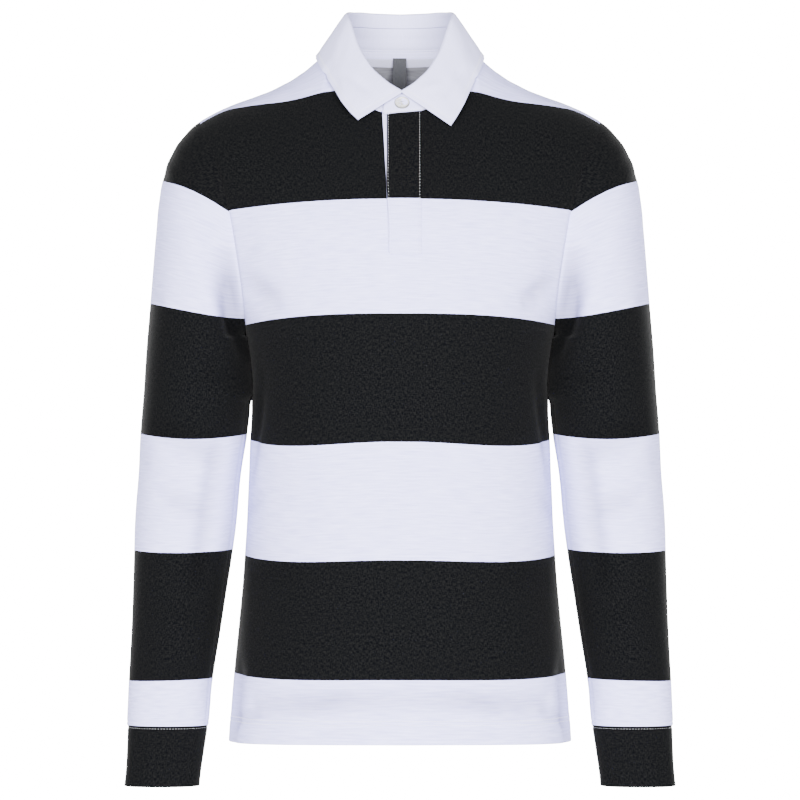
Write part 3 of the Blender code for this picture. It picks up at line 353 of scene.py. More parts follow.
def half_panel(panel, side, start_x):
    """Columns of points for one side of a panel, from the middle outward."""
    shares = [NECK_SHARE * i / NECK_CELLS for i in range(NECK_CELLS)]
    shares += [mix(NECK_SHARE, SEAM_SHARES[0], i / SIDE_CELLS) for i in range(SIDE_CELLS + 1)]
    shares += SEAM_SHARES[1:]
    columns, measures = [], []
    for share in shares:
        points = [lower_point(panel, row, start_x(row_height(row, 0.0)), share)
                  for row in lower_rows(panel)]
        arc = crown(panel, start_x, share)
        foot = lean_at(arc, course_height(panel.courses[-1], arc.base[0] / panel.arm_x))
        last = SEAM_LEAN if panel is FRONT and share >= NECK_SHARE else arc.end_lean
        hoop_head = lean_at(arc, shoulder_course_height(panel, arc.end_x))
        limit = NECK_HEAD_LIMIT if share < NECK_SHARE else SEAM_HEAD_LIMIT
        head = min(hoop_head, mix(foot, last, limit))
        leans = [foot * i / ROWS_TO_FOOT for i in range(1, ROWS_TO_FOOT)]
        leans += [mix(foot, head, i / ROWS_IN_HOOP) for i in range(ROWS_IN_HOOP)]
        leans += [mix(head, last, i / ROWS_TO_SEAM) for i in range(ROWS_TO_SEAM + 1)]
        points += [crown_point(arc, lean) for lean in leans]
        measures.append([HOOP_EDGES[5] + STRIPE_PITCH * min((lean - foot) / (hoop_head - foot), 1.0)
                         + CROWN_REACH * max(lean - hoop_head, 0.0) for lean in leans[ROWS_TO_FOOT - 1:]])
        if panel is BACK:
            forward = crown(FRONT, slot_start(side), share)
            for i in range(1, ROWS_FORWARD + 1):
                lean = mix(math.pi / 2, SEAM_LEAN, i / ROWS_FORWARD)
                points.append(crown_point(forward, lean) if share >= NECK_SHARE else points[-1])
            measures[-1] += [measures[-1][-1] + i * FORWARD_REACH for i in range(1, ROWS_FORWARD + 1)]
        columns.append([(side * x, y, z) for x, y, z in points])
    return columns, shares, measures


def slot_start(side):
    """Columns of the front start at the edge of the placket's slot."""
    return lambda height: slot_edge_x(side, height)


def row_measures(panel, grid, crowns):
    """Measure up the cloth of every point, 0 at the hem."""
    measures = np.zeros(grid.shape[:2])
    rows = lower_rows(panel)
    spread = np.minimum(abs(grid[:, :, 0]) / panel.arm_x, 1.0)
    for index, (low, high, share) in enumerate(rows):
        first = HOOP_EDGES[panel.courses.index(low)]
        if high is not CHEST_LINE:
            measures[index] = mix(first, HOOP_EDGES[panel.courses.index(high)], share)
    for index in range(len(rows) - ROWS_TO_CHEST - 1, len(rows) + ROWS_TO_FOOT - 1):
        for column, out in enumerate(spread[index]):
            foot, head = course_height(panel.courses[4], out), course_height(panel.courses[5], out)
            part = clamp((grid[index, column, 2] - foot) / (head - foot))
            measures[index, column] = HOOP_EDGES[4] + STRIPE_PITCH * part
    measures[len(rows) + ROWS_TO_FOOT - 1:] = crowns
    return measures


STRIP_CELLS = 8             # across the placket's slot
CHEST_RADIUS, NECK_RADIUS = 0.175, 0.074
NECK_RISE = 0.12            # from the chest line to the neck


def panel_grid(panel):
    """Points of a whole panel by row and column, how far out its columns lie, measures."""
    if panel is BACK:
        left, shares, tops = half_panel(BACK, 1, lambda height: 0.0)
        right = half_panel(BACK, -1, lambda height: 0.0)[0]
        grid = np.array(left[::-1] + right[1:]).transpose(1, 0, 2)
        measures = row_measures(BACK, grid, np.array(tops[::-1] + tops[1:]).T)
        return grid, np.array(shares[::-1] + shares[1:]), measures
    left, shares, left_tops = half_panel(FRONT, 1, slot_start(1))
    right, _, right_tops = half_panel(FRONT, -1, slot_start(-1))
    first, last = np.array(right[0]), np.array(left[0])
    middle = []
    for i in range(1, STRIP_CELLS):
        part = i / STRIP_CELLS
        points = mix(first, last, part)
        half = (last[:, 0] - first[:, 0]) / 2
        up = np.clip((points[:, 2] - CHEST_HEIGHT) / NECK_RISE, 0, 1)
        round_the_body = mix(CHEST_RADIUS, NECK_RADIUS, up)
        points[:, 1] -= half ** 2 / (2 * round_the_body) * (1 - (2 * part - 1) ** 2)
        middle.append(points.tolist())
    grid = np.array(right[::-1] + middle + left).transpose(1, 0, 2)
    tops = right_tops[::-1] + [left_tops[0]] * (STRIP_CELLS - 1) + left_tops
    measures = row_measures(FRONT, grid, np.array(tops).T)
    return grid, np.array(shares[::-1] + [0.0] * (STRIP_CELLS - 1) + shares), measures


def outward(grid):
    """Unit vectors off the outer side of a grid, at every point."""
    normals = np.cross(np.gradient(grid, axis=1), np.gradient(grid, axis=0))
    return normals / np.maximum(np.linalg.norm(normals, axis=2, keepdims=True), 1e-12)

FADE_START, FADE_RATE = 1.25, 1.5       # a fold fades out past its two ends


def trough(folds, girth, out, height):
    """How deep the folds of a table press in, for arrays of places on a piece."""
    depth = np.zeros_like(height)
    for fold in folds:
        low_x, low_y = fold.low_out * girth, fold.low_height
        run_x, run_y = fold.high_out * girth - low_x, fold.high_height - low_y
        x, y = out * girth - low_x, height - low_y
        along = (x * run_x + y * run_y) / (run_x ** 2 + run_y ** 2)
        held = np.clip(along, 0, 1)
        away = np.hypot(x - run_x * held, y - run_y * held) / fold.width
        fade = np.clip(FADE_START - FADE_RATE * abs(along - 0.5), 0, 1)
        depth += fold.depth * fade * np.exp(-away * away)
    return depth


def run_along(grid, axis):
    """Distance of every point from the first of its row (axis 1) or column (axis 0)."""
    steps = np.linalg.norm(np.diff(grid, axis=axis), axis=2)
    start = np.zeros_like(np.take(steps, [0], axis=axis))
    return np.concatenate([start, np.cumsum(steps, axis=axis)], axis=axis)


SEAM_DIP, SHOULDER_DIP, SEAM_DIP_WIDTH = 0.0013, 0.0004, 0.0020
SEAM_AIM_X, SEAM_AIM_TOP = 0.08, -0.2       # inside the body, where its seams draw towards
TIP_FROM, TIP_RISE = -0.125, 0.04           # heights over which the armhole's seam goes flat


def bell(away, width):
    """1 on a line, and next to nothing at two widths from it."""
    return np.exp(-(away / width) ** 2)


def unit(vectors):
    """Vectors one metre long, each the same way as before."""
    return vectors / np.linalg.norm(vectors, axis=-1, keepdims=True)


def from_ends(run):
    """Distance of every point from the nearer end of its row."""
    return np.minimum(run, run[:, -1:] - run)


def drawn_in(points, from_seam, aim, dip=SEAM_DIP):
    """Cloth drawn towards a point inside by the stitches of a seam."""
    return points + unit(aim - points) * (dip * bell(from_seam, SEAM_DIP_WIDTH))[..., None]


def sewn_sides(grid):
    """A panel drawn in along its side seams and armholes."""
    aim = np.stack([np.sign(grid[..., 0]) * SEAM_AIM_X, np.zeros(grid.shape[:2]),
                    np.minimum(grid[..., 2], SEAM_AIM_TOP)], axis=-1)
    near_tip = smooth(np.clip((grid[..., 2] - TIP_FROM) / TIP_RISE, 0, 1))
    dip = mix(SEAM_DIP, SHOULDER_DIP, near_tip)
    dip = np.where(grid[..., 2] < UNDERARM_HEIGHT, SHOULDER_DIP, dip)
    return drawn_in(grid, from_ends(run_along(grid, 1)), aim, dip)


def sewn_shoulders(grid, out):
    """A panel drawn in along its shoulder seams."""
    run = run_along(grid, 0)
    from_seam = np.where(out >= PAST_NECK, run[-1:] - run, 1.0)
    return drawn_in(grid, from_seam, grid - np.array([0.0, 0.0, 1.0]), SHOULDER_DIP)


HEM_EDGE, HEM_EDGE_WIDTH = 0.0255, 0.0025       # of the cloth turned up behind
HEM_LIFT, GROOVE, GROOVE_WIDTH = 0.0005, 0.0006, 0.0008


def hemmed(grid, measure):
    """A panel with its doubled hem a little proud, and a groove at each stitch row."""
    lift = HEM_LIFT * smooth(np.clip((HEM_EDGE - measure) / HEM_EDGE_WIDTH, 0, 1))
    for stitched in HEM_STITCHES:
        lift -= GROOVE * bell(measure - stitched, GROOVE_WIDTH)
    return grid + outward(grid) * lift[..., None]


front_grid, front_out, front_measure = panel_grid(FRONT)
back_grid, back_out, back_measure = panel_grid(BACK)
UNDERARM_ROW = len(lower_rows(FRONT)) - 1 - ROWS_TO_CHEST - ROWS_PAST_UNDERARM
LAST_NECK_ROW = len(back_grid) - 1 - ROWS_FORWARD


def armhole_edge():
    """The left armhole's points: tip of the shoulder, front, underarm, back."""
    return np.concatenate([front_grid[UNDERARM_ROW:, -1][::-1], back_grid[UNDERARM_ROW + 1:-1, 0]])


SIDE_HOLD = 12              # how close to the side seams the folds flatten out


def fold_share(depth):
    """How deep in a fold a point lies, from 0 to 1."""
    return np.clip(depth / DEEPEST_FOLD, 0, 1)


plain_front, plain_back, plain_armhole = front_grid.copy(), back_grid.copy(), armhole_edge()
# How deep each point lies in the folds and under-arm shades, for the shade painted into the colour
panel_fold_shade = []
for grid, out, folds in ((front_grid, front_out, FRONT_FOLDS), (back_grid, back_out, BACK_FOLDS)):
    spread = np.broadcast_to(out, grid.shape[:2])
    depth = trough(folds, PANEL_GIRTH, spread, grid[:, :, 2])
    shade = trough(UNDERARM_SHADES, PANEL_GIRTH, spread, grid[:, :, 2])
    panel_fold_shade.append(fold_share(depth + shade))
    grid -= outward(grid) * (depth * (1 - spread ** SIDE_HOLD))[:, :, None]
front_grid = sewn_shoulders(sewn_sides(hemmed(front_grid, front_measure)), front_out)
back_grid = sewn_shoulders(sewn_sides(hemmed(back_grid, back_measure)), back_out)
sewn_armhole = armhole_edge()


def put(socket, value):
    """Set a socket to a value, or link a tone or another socket to it."""
    if isinstance(value, Tone):
        value = value.socket
    if isinstance(value, bpy.types.NodeSocket):
        socket.id_data.links.new(value, socket)
    else:
        socket.default_value = value


class Tone:
    """A value that a material works out, for sums as with a number."""

    def __init__(self, socket):
        self.socket = socket

    def reckon(self, operation, other=0.0):
        """The result of a sum on this value and another."""
        step = self.socket.id_data.nodes.new("ShaderNodeMath")
        step.operation = operation
        put(step.inputs[0], self)
        put(step.inputs[1], other)
        return Tone(step.outputs[0])

    def __add__(self, other):
        return self.reckon("ADD", other)

    def __sub__(self, other):
        return self.reckon("SUBTRACT", other)

    def __mul__(self, other):
        return self.reckon("MULTIPLY", other)


def blend(share, first, second):
    """A colour part of the way between two colours."""
    step = share.socket.id_data.nodes.new("ShaderNodeMix")
    step.data_type = "RGBA"
    put(step.inputs["Factor"], share)
    put(step.inputs["A"], first)
    put(step.inputs["B"], second)
    return step.outputs["Result"]


def mottle(place, scales, detail=2.0):
    """Noise about one half, with its own scale across and along the cloth."""
    tree = place.id_data
    spread = tree.nodes.new("ShaderNodeMapping")
    spread.inputs["Scale"].default_value = scales
    tree.links.new(place, spread.inputs["Vector"])
    noise = tree.nodes.new("ShaderNodeTexNoise")
    noise.inputs["Scale"].default_value = 1.0
    noise.inputs["Detail"].default_value = detail
    tree.links.new(spread.outputs[0], noise.inputs["Vector"])
    return Tone(noise.outputs["Fac"])


def paint(name, settings):
    """A new material with settings of its surface."""
    material = bpy.data.materials.new(name)
    material.use_nodes = True
    for setting, value in settings.items():
        material.node_tree.nodes["Principled BSDF"].inputs[setting].default_value = value
    return material


def own_place(material):
    """The places of a piece in its own metres."""
    return material.node_tree.nodes.new("ShaderNodeTexCoord").outputs["Object"]


def cloth_paint(name, roughness, sheen):
    """A matt cloth material, with its places: both, across and up the cloth."""
    material = paint(name, {"Roughness": roughness, "Specular IOR Level": 0.02,
                            "Sheen Weight": sheen, "Sheen Roughness": 0.45})
    tree = material.node_tree
    place = tree.nodes.new("ShaderNodeUVMap")
    place.uv_map = "cloth"
    parts = tree.nodes.new("ShaderNodeSeparateXYZ")
    tree.links.new(place.outputs[0], parts.inputs[0])
    return material, place.outputs[0], Tone(parts.outputs["X"]), Tone(parts.outputs["Y"])


def coloured(material, colour, height=None, distance=0.0, strength=0.0):
    """A material given its colour, and raised by a height from 0 to 1."""
    tree = material.node_tree
    surface = tree.nodes["Principled BSDF"]
    put(surface.inputs["Base Color"], colour)
    if height:
        relief = tree.nodes.new("ShaderNodeBump")
        relief.inputs["Distance"].default_value = distance
        relief.inputs["Strength"].default_value = strength
        put(relief.inputs["Height"], height)
        put(surface.inputs["Normal"], relief.outputs[0])
    return material


WHITE = (0.600, 0.597, 0.960, 1.0)
WHITE_SLUB = (0.430, 0.427, 0.790, 1.0)
# The white yarn on the jersey's inner side, painted dark as the shade inside the shirt
INSIDE_PAINTED_SHADE_WHITE = (0.210, 0.210, 0.240, 1.0)
INSIDE_PAINTED_SHADE_SLUB = (0.120, 0.120, 0.138, 1.0)
BLACK = (0.0008, 0.0010, 0.0016, 1.0)
BLACK_FADED = (0.0056, 0.0057, 0.0057, 1.0)
WALE, KNIT_COURSE, KNIT_SLANT = 0.00085, 0.00068, 1.6
KNIT_DISTANCE, KNIT_STRENGTH = 0.00022, 0.55
JERSEY_ROUGHNESS, JERSEY_SHEEN = 0.95, 0.02
HOOP_WANDER = 0.0007
# Scales of the noise, per metre across and up the cloth
EDGE_WANDER = (420, 30, 1)
SLUB = (42, 560, 1)
WALE_SHADE, COURSE_SHADE = (1100, 340, 1), (340, 1000, 1)
NAP = (1700, 1500, 1)
# How much of each shows, in the stitches' height and in the black yarn's fading
STITCH_RISE, NAP_RISE, SLUB_RISE, ROUGH_RISE = 0.20, 1.6, 1.4, 0.5
WALE_FADES, COURSE_FADES, NAP_FADES, FADES_PAST = 2.4, 2.0, 0.6, 2.08
SLUB_SHOWS, SLUB_SHOWS_PAST = 2.4, 0.7


def waves(place, length):
    """Waves of a length along a place."""
    return (place * (2 * math.pi / length)).reckon("SINE")


def knit(place, across, along):
    """Height of the jersey's stitches, slubs and nap, from 0 to 1."""
    wale = waves(across, WALE)
    turn = along * (2 * math.pi / KNIT_COURSE) + wale.reckon("ABSOLUTE") * KNIT_SLANT
    stitch = wale + turn.reckon("SINE")
    rough = mottle(place, NAP) * NAP_RISE + mottle(place, SLUB) * SLUB_RISE
    return stitch * STITCH_RISE + rough * ROUGH_RISE


def black_shade(place):
    """Black yarn, faded and paler here and there where the white core shows."""
    wales, courses = mottle(place, WALE_SHADE, 1.0), mottle(place, COURSE_SHADE, 1.0)
    grain = mottle(place, NAP) * NAP_FADES - FADES_PAST
    return blend(wales * WALE_FADES + courses * COURSE_FADES + grain, BLACK, BLACK_FADED)


# Share of the colour taken away at the bottom of a fold: painted shade
FOLD_SHADE = 0.55


def painted_fold_shade(material, colour):
    """A colour painted darker in the folds and under the arms, as shade, by the piece's "pressed"
    attribute.
    """
    pressed = material.node_tree.nodes.new("ShaderNodeAttribute")
    pressed.attribute_name = "pressed"
    return blend(Tone(pressed.outputs["Fac"]) * FOLD_SHADE, colour, (0.0, 0.0, 0.0, 1.0))


def hooped_jersey(name, white_yarn, white_slub):
    """Black and white hoops that follow the cloth's own measure up its length."""
    material, place, across, along = cloth_paint(name, JERSEY_ROUGHNESS, JERSEY_SHEEN)
    start = HEM_STRIPE + STRIPE_PITCH / 2 + HOOP_WANDER / 2
    measure = along + mottle(place, EDGE_WANDER, 3.0) * HOOP_WANDER - start
    black = measure.reckon("PINGPONG", STRIPE_PITCH).reckon("LESS_THAN", STRIPE_PITCH / 2)
    slub = mottle(place, SLUB, 3.0) * SLUB_SHOWS - SLUB_SHOWS_PAST
    white = blend(slub, white_slub, white_yarn)
    # shade painted into the colour in the folds and under the arms
    colour = painted_fold_shade(material, blend(black, white, black_shade(place)))
    return coloured(material, colour, knit(place, across, along), KNIT_DISTANCE, KNIT_STRENGTH)


def only(piece):
    """Make a piece the only one selected, and active."""
    bpy.ops.object.select_all(action="DESELECT")
    bpy.context.view_layer.objects.active = piece
    piece.select_set(True)


SHARP_ANGLE = math.radians(50)


def round_edges(piece, radius, segments):
    """Round the sharp edges of the active piece."""
    edges = piece.modifiers.new("Edges", "BEVEL")
    edges.width = radius
    edges.segments = segments
    edges.angle_limit = SHARP_ANGLE
    bpy.ops.object.modifier_apply(modifier="Edges")


def cloth(name, grid, wall, material, measure=None, cells=None, flip=False, rounded=0.0, inside=None,
          pressed=None):
    """A thin shell of cloth with its outer side on a grid of points.

    Its UV map "cloth" is in metres: across the cloth, and up its length.  Cells that
    are False in the array are left out, rounded is the radius of its edges, inside is
    the material of its wrong side where that differs (on the jersey, dark as painted
    shade), and pressed says how deep in a fold each point lies, from 0 to 1, for the
    last rows of the grid, kept for the materials to paint shade by.
    """
    rows, columns = grid.shape[:2]
    index = np.arange(rows * columns).reshape(rows, columns)
    faces = np.stack([index[:-1, :-1], index[:-1, 1:], index[1:, 1:], index[1:, :-1]], axis=-1)
    faces = faces.reshape(-1, 4) if cells is None else faces[cells]
    if flip:
        faces = faces[:, ::-1]
    used = np.unique(faces)
    place = np.full(rows * columns, -1)
    place[used] = np.arange(len(used))
    mesh = bpy.data.meshes.new(name)
    mesh.from_pydata(grid.reshape(-1, 3)[used].tolist(), [], place[faces].tolist())
    across = np.broadcast_to(run_along(grid, 1).mean(axis=0), (rows, columns))
    if measure is None:
        measure = np.broadcast_to(run_along(grid, 0).mean(axis=1)[:, None], (rows, columns))
    flat = np.stack([across, measure], axis=2).reshape(-1, 2)[used]
    corners = np.zeros(len(mesh.loops), dtype=np.int32)
    mesh.loops.foreach_get("vertex_index", corners)
    layer = mesh.uv_layers.new(name="cloth")
    layer.data.foreach_set("uv", flat[corners].astype(np.float32).ravel())
    # How deep in a fold each point lies, kept in the attribute "pressed" for painted shade
    in_fold = np.zeros((rows, columns))
    if pressed is not None:
        in_fold[rows - len(pressed):] = pressed
    fold_layer = mesh.attributes.new("pressed", "FLOAT", "POINT")
    fold_layer.data.foreach_set("value", in_fold.ravel()[used].astype(np.float32))
    mesh.materials.append(material)
    piece = bpy.data.objects.new(name, mesh)
    bpy.context.scene.collection.objects.link(piece)
    thick = piece.modifiers.new("Wall", "SOLIDIFY")
    thick.thickness = wall
    thick.offset = -1.0
    if inside:
        piece.data.materials.append(inside)
        thick.material_offset = 1
    only(piece)
    bpy.ops.object.modifier_apply(modifier="Wall")
    if rounded:
        round_edges(piece, rounded, 2)
    piece.data.shade_smooth()
    piece.data.set_sharp_from_angle(angle=SHARP_ANGLE)
    return piece


def dressed(piece, nodes, flat, area):
    """Hang a piece from the root and hide the solids that it stands for; flat and area are not used."""
    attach(piece, "root")
    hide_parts(*nodes)


TURN_RADIUS = 0.0010
TURN_ANGLES = np.radians((180, 150, 120, 90, 60, 30))


def turned_up(grid, measure, behind, facing=1.0):
    """A grid and its measure with the lower edge folded in and up behind some rows."""
    out = outward(grid) * facing
    rise = unit(grid[1] - grid[0])
    inner = [grid[row] - out[row] * 2 * TURN_RADIUS for row in behind]
    fold = [grid[0] - out[0] * TURN_RADIUS * (1 - math.cos(turn)) - rise * TURN_RADIUS * math.sin(turn)
            for turn in TURN_ANGLES]
    measures = [-measure[row] - math.pi * TURN_RADIUS for row in behind]
    measures += [measure[0] - turn * TURN_RADIUS for turn in TURN_ANGLES]
    return np.array(inner + fold + list(grid)), np.array(measures + list(measure))


def turned_cells(cells):
    """The array of a piece's cells, with those of its turned-up edge."""
    turned_rows = len(HEM_TURNED_ROWS) + len(TURN_ANGLES)
    return np.concatenate([np.ones((turned_rows, cells.shape[1]), bool), cells])


SLOT_CUT_HEIGHT = -0.193
SLOT_ROW = next(i for i, row in enumerate(lower_rows(FRONT)) if row_height(row, 0.0) >= SLOT_CUT_HEIGHT)
SLOT_COLUMN = (len(front_out) - STRIP_CELLS + 1) // 2 - 1
front_cells = np.ones((len(front_grid) - 1, len(front_out) - 1), bool)
front_cells[SLOT_ROW:, SLOT_COLUMN:SLOT_COLUMN + STRIP_CELLS] = False
back_cells = np.ones((len(back_grid) - 1, len(back_out) - 1), bool)
back_cells[LAST_NECK_ROW:, np.minimum(back_out[:-1], back_out[1:]) < PAST_NECK] = False
hooped = hooped_jersey("hooped_jersey", WHITE, WHITE_SLUB)
# The jersey's inner side: its white painted dark, as shade
inside_painted_shade = hooped_jersey("hooped_jersey_inside_painted_shade", INSIDE_PAINTED_SHADE_WHITE, INSIDE_PAINTED_SHADE_SLUB)
panels = []
for node, grid, measure, cells, pressed, flat, area in (
        ("front", front_grid, front_measure, front_cells, panel_fold_shade[0], (0.54, 0.68), 0.292),
        ("back", back_grid, back_measure, back_cells, panel_fold_shade[1], (0.54, 0.72), 0.311)):
    turned, turned_measure = turned_up(grid, measure, HEM_TURNED_ROWS)
    panels.append(cloth(f"{node}_jersey", turned, JERSEY_WALL, hooped, turned_measure,
                        turned_cells(cells), inside=inside_painted_shade, pressed=pressed))
    dressed(panels[-1], [node], flat, area)


THREAD_TWIST = (2500, 2500, 2500)
THREAD_DISTANCE, THREAD_STRENGTH = 0.0001, 0.5


def spun_thread(name, settings, dark, light):
    """Thread, slightly uneven along its twist."""
    material = paint(name, settings)
    twist = mottle(own_place(material), THREAD_TWIST)
    return coloured(material, blend(twist, dark, light), twist, THREAD_DISTANCE, THREAD_STRENGTH)


def line_run(line):
    """Distance of every point of a line from its first."""
    return np.concatenate([[0.0], np.cumsum(np.linalg.norm(np.diff(line, axis=0), axis=1))])


def on_line(places, run, line):
    """Points, or directions, at distances along a line."""
    return np.stack([np.interp(places, run, line[:, axis]) for axis in range(3)], axis=-1)


STITCH_SHAPE = ((0.0, 0.45, -0.6), (0.2, 1.0, 0.35), (0.8, 1.0, 0.35), (1.0, 0.45, -0.6))


def sewn(name, lines, length=0.0022, gap=0.0009, half=0.00028):
    """Rows of stitches along lines of points, each with the vectors off its cloth."""
    points, faces = [], []
    for line, off in lines:
        line, off = np.array(line), np.array(off)
        run = line_run(line)
        for start in np.arange(0.0, run[-1] - length, length + gap):
            first = len(points)
            for along, girth, lift in STITCH_SHAPE:
                place = start + along * length
                up = on_line(place, run, off)
                ahead = on_line(place + length, run, line) - on_line(place - length, run, line)
                side = unit(np.cross(ahead, up))
                middle = on_line(place, run, line) + up * half * lift
                for across, above in ((-1, 0), (0, 1), (1, 0), (0, -1)):
                    points.append(middle + (side * across + up * above) * half * girth)
            for ring in range(3):
                base = first + ring * 4
                faces += [(base + i, base + (i + 1) % 4, base + 4 + (i + 1) % 4, base + 4 + i)
                          for i in range(4)]
            faces += [tuple(first + i for i in (3, 2, 1, 0)), tuple(first + 12 + i for i in range(4))]
    mesh = bpy.data.meshes.new(name)
    mesh.from_pydata([tuple(point) for point in points], [], faces)
    mesh.materials.append(thread)
    mesh.shade_smooth()
    piece = bpy.data.objects.new(name, mesh)
    bpy.context.scene.collection.objects.link(piece)
    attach(piece, "root")


thread = spun_thread("sewing_thread", {"Roughness": 0.75, "Sheen Weight": 0.1},
                     (0.62, 0.62, 0.66, 1.0), (0.86, 0.86, 0.90, 1.0))
hem_lines = []
for grid in (front_grid, back_grid):
    off = outward(grid)
    for stitched in HEM_STITCHES:
        row = HEM_ROWS.index(stitched)
        hem_lines.append((grid[row], off[row]))
sewn("hem_stitches", hem_lines)

# --- Sleeves ------------------------------------------------------------------
# Two tubes of the same hooped jersey, each with one seam along its inner side, set
# into the armholes.  They hang from the shoulders, a little bent at the elbow.
Ring = namedtuple("Ring", "place outer_x outer_height inner_x inner_height front back sag")
SLEEVE = (
    Ring(0, 0.2008, -0.0625, 0.1540, -0.2760, -0.0790, 0.0820, 0.000),
    Ring(1, 0.2157, -0.0770, 0.1546, -0.2785, -0.0775, 0.0805, 0.000),
    Ring(2, 0.2288, -0.0970, 0.1546, -0.2812, -0.0760, 0.0790, 0.000),
    Ring(3, 0.2357, -0.1170, 0.1545, -0.2840, -0.0745, 0.0770, 0.000),
    Ring(4, 0.2406, -0.1420, 0.1542, -0.2870, -0.0730, 0.0750, 0.000),
    Ring(5, 0.2435, -0.1720, 0.1538, -0.2905, -0.0715, 0.0735, 0.000),
    Ring(6, 0.2463, -0.2050, 0.1532, -0.2945, -0.0700, 0.0720, 0.000),
    Ring(7, 0.2491, -0.2400, 0.1524, -0.3000, -0.0680, 0.0700, 0.001),
    Ring(8, 0.2517, -0.2700, 0.1514, -0.3090, -0.0660, 0.0680, 0.002),
    Ring(9, 0.2541, -0.3000, 0.1504, -0.3220, -0.0635, 0.0655, 0.003),
    Ring(10, 0.2563, -0.3350, 0.1496, -0.3400, -0.0610, 0.0635, 0.004),
    Ring(11, 0.2595, -0.3755, 0.1528, -0.3760, -0.0590, 0.0620, 0.005),
    Ring(12, 0.2612, -0.4150, 0.1588, -0.4150, -0.0592, 0.0560, 0.004),
    Ring(13, 0.2640, -0.4530, 0.1622, -0.4530, -0.0605, 0.0490, 0.003),
    Ring(14, 0.2652, -0.4915, 0.1666, -0.4905, -0.0620, 0.0410, 0.002),
    Ring(15, 0.2662, -0.5350, 0.1731, -0.5335, -0.0630, 0.0310, 0.001),
    Ring(16, 0.2677, -0.5790, 0.1796, -0.5770, -0.0635, 0.0210, 0.000),
    Ring(17, 0.2698, -0.6205, 0.1861, -0.6180, -0.0635, 0.0130, 0.000),
    Ring(18, 0.2708, -0.6460, 0.1885, -0.6440, -0.0635, 0.0070, 0.000),
    Ring(19, 0.2716, -0.6645, 0.1902, -0.6645, -0.0620, 0.0030, 0.000),
)
SLEEVE_FULL = 2.1
CAP_RINGS, FOLDS_FROM_RING = 5, 1.5
SLEEVE_GIRTH = 0.19
HoopRing = namedtuple("HoopRing", "place measure")
HOOP_RINGS = (HoopRing(11, 0.304), HoopRing(14, 0.184), HoopRing(17, 0.064), HoopRing(19, 0.018))
SLEEVE_BREAST = curve((
    Ridge(0.1696, -0.1560), Ridge(0.1976, -0.1391), Ridge(0.2375, -0.1235),
), "x", "height")
SLEEVE_UPPER = curve((
    Ridge(0.1580, -0.2610), Ridge(0.1780, -0.2594), Ridge(0.1976, -0.2564),
    Ridge(0.2176, -0.2526), Ridge(0.2496, -0.2458),
), "x", "height")
SLEEVE_FRONT_FOLDS = (
    Fold(0.80, -0.294, 0.60, -0.196, 0.0130, 0.0120),
    Fold(0.93, -0.268, 0.84, -0.222, 0.0060, 0.0050),
    Fold(0.70, -0.400, 0.30, -0.372, 0.012, 0.0045),
    Fold(0.62, -0.452, 0.34, -0.436, 0.011, 0.0040),
    Fold(0.62, -0.520, 0.66, -0.385, 0.013, 0.0055),
    Fold(0.25, -0.243, 0.15, -0.238, 0.004, 0.0014),
    Fold(0.80, -0.330, 0.52, -0.315, 0.010, 0.0018),
    Fold(0.22, -0.405, 0.12, -0.398, 0.008, 0.0012),
    Fold(0.72, -0.560, 0.40, -0.548, 0.010, 0.0012),
    Fold(0.30, -0.640, 0.55, -0.612, 0.009, 0.0009),
)
# Places on the front of the sleeve where more shade is painted into the colour than its folds give
SLEEVE_FRONT_SHADES = (
    Fold(0.88, -0.292, 0.74, -0.205, 0.0150, 0.0055),
    Fold(0.88, -0.345, 0.84, -0.275, 0.0240, 0.0090),
    Fold(0.82, -0.640, 0.86, -0.380, 0.0170, 0.0036),
)
SLEEVE_BACK_FOLDS = (
    Fold(0.70, -0.280, 0.60, -0.180, 0.018, 0.0050),
    Fold(0.74, -0.430, 0.42, -0.405, 0.014, 0.0035),
    Fold(0.78, -0.380, 0.36, -0.366, 0.010, 0.0022),
    Fold(0.66, -0.468, 0.30, -0.452, 0.010, 0.0018),
    Fold(0.50, -0.560, 0.62, -0.480, 0.012, 0.0016),
    Fold(0.30, -0.628, 0.58, -0.606, 0.009, 0.0010),
)
SLEEVE_CELLS = 8            # between two rings of the table
SEAM_TWIST, TWIST_RINGS = 0.38, 11      # how far the seam turns to the front, and by where
SLEEVE_STITCH_PLACE = 18.81
CUFF_DIP = 0.0002
SLEEVE_SEAM_SHARE, SLEEVE_SEAM_FROM = 0.5, 0.01     # of the dip, and from where it is full
BODY_PRESS, BODY_CLEAR = 0.0075, 0.0002
PRESS_TOP, PRESS_TOP_FADE, PRESS_FOOT, PRESS_FOOT_FADE = -0.2765, 0.005, -0.345, 0.008
PRESS_FROM_X, PRESS_REACH = 0.150, 0.045


def ring_curves(table):
    """Each column of a ring table as a smooth curve along the sleeve."""
    return {column: curve(table, "place", column) for column in table[0]._fields[1:]}


def ring_frame(curves, place):
    """Centre, reach across and half depth of a ring."""
    outer = np.array([curves["outer_x"](place), 0.0, curves["outer_height"](place)])
    inner = np.array([curves["inner_x"](place), 0.0, curves["inner_height"](place)])
    centre = (outer + inner) / 2
    near, far = curves["front"](place), curves["back"](place)
    centre[1] = (near + far) / 2
    return centre, (outer - inner) / 2, (far - near) / 2


def signed_power(value, exponent):
    """Power that keeps the value's sign, for rounded outlines."""
    return np.sign(value) * np.abs(value) ** exponent


def ring_points(curves, place, angles, full):
    """Points of a ring, by the angle from its outer side towards the front."""
    centre, reach, half = ring_frame(curves, place)
    points = centre + reach * signed_power(np.cos(angles), 2 / full)[:, None]
    points[:, 1] -= half * signed_power(np.sin(angles), 2 / full)
    points[:, 2] -= curves["sag"](place) * np.sin(angles) ** 2
    return points


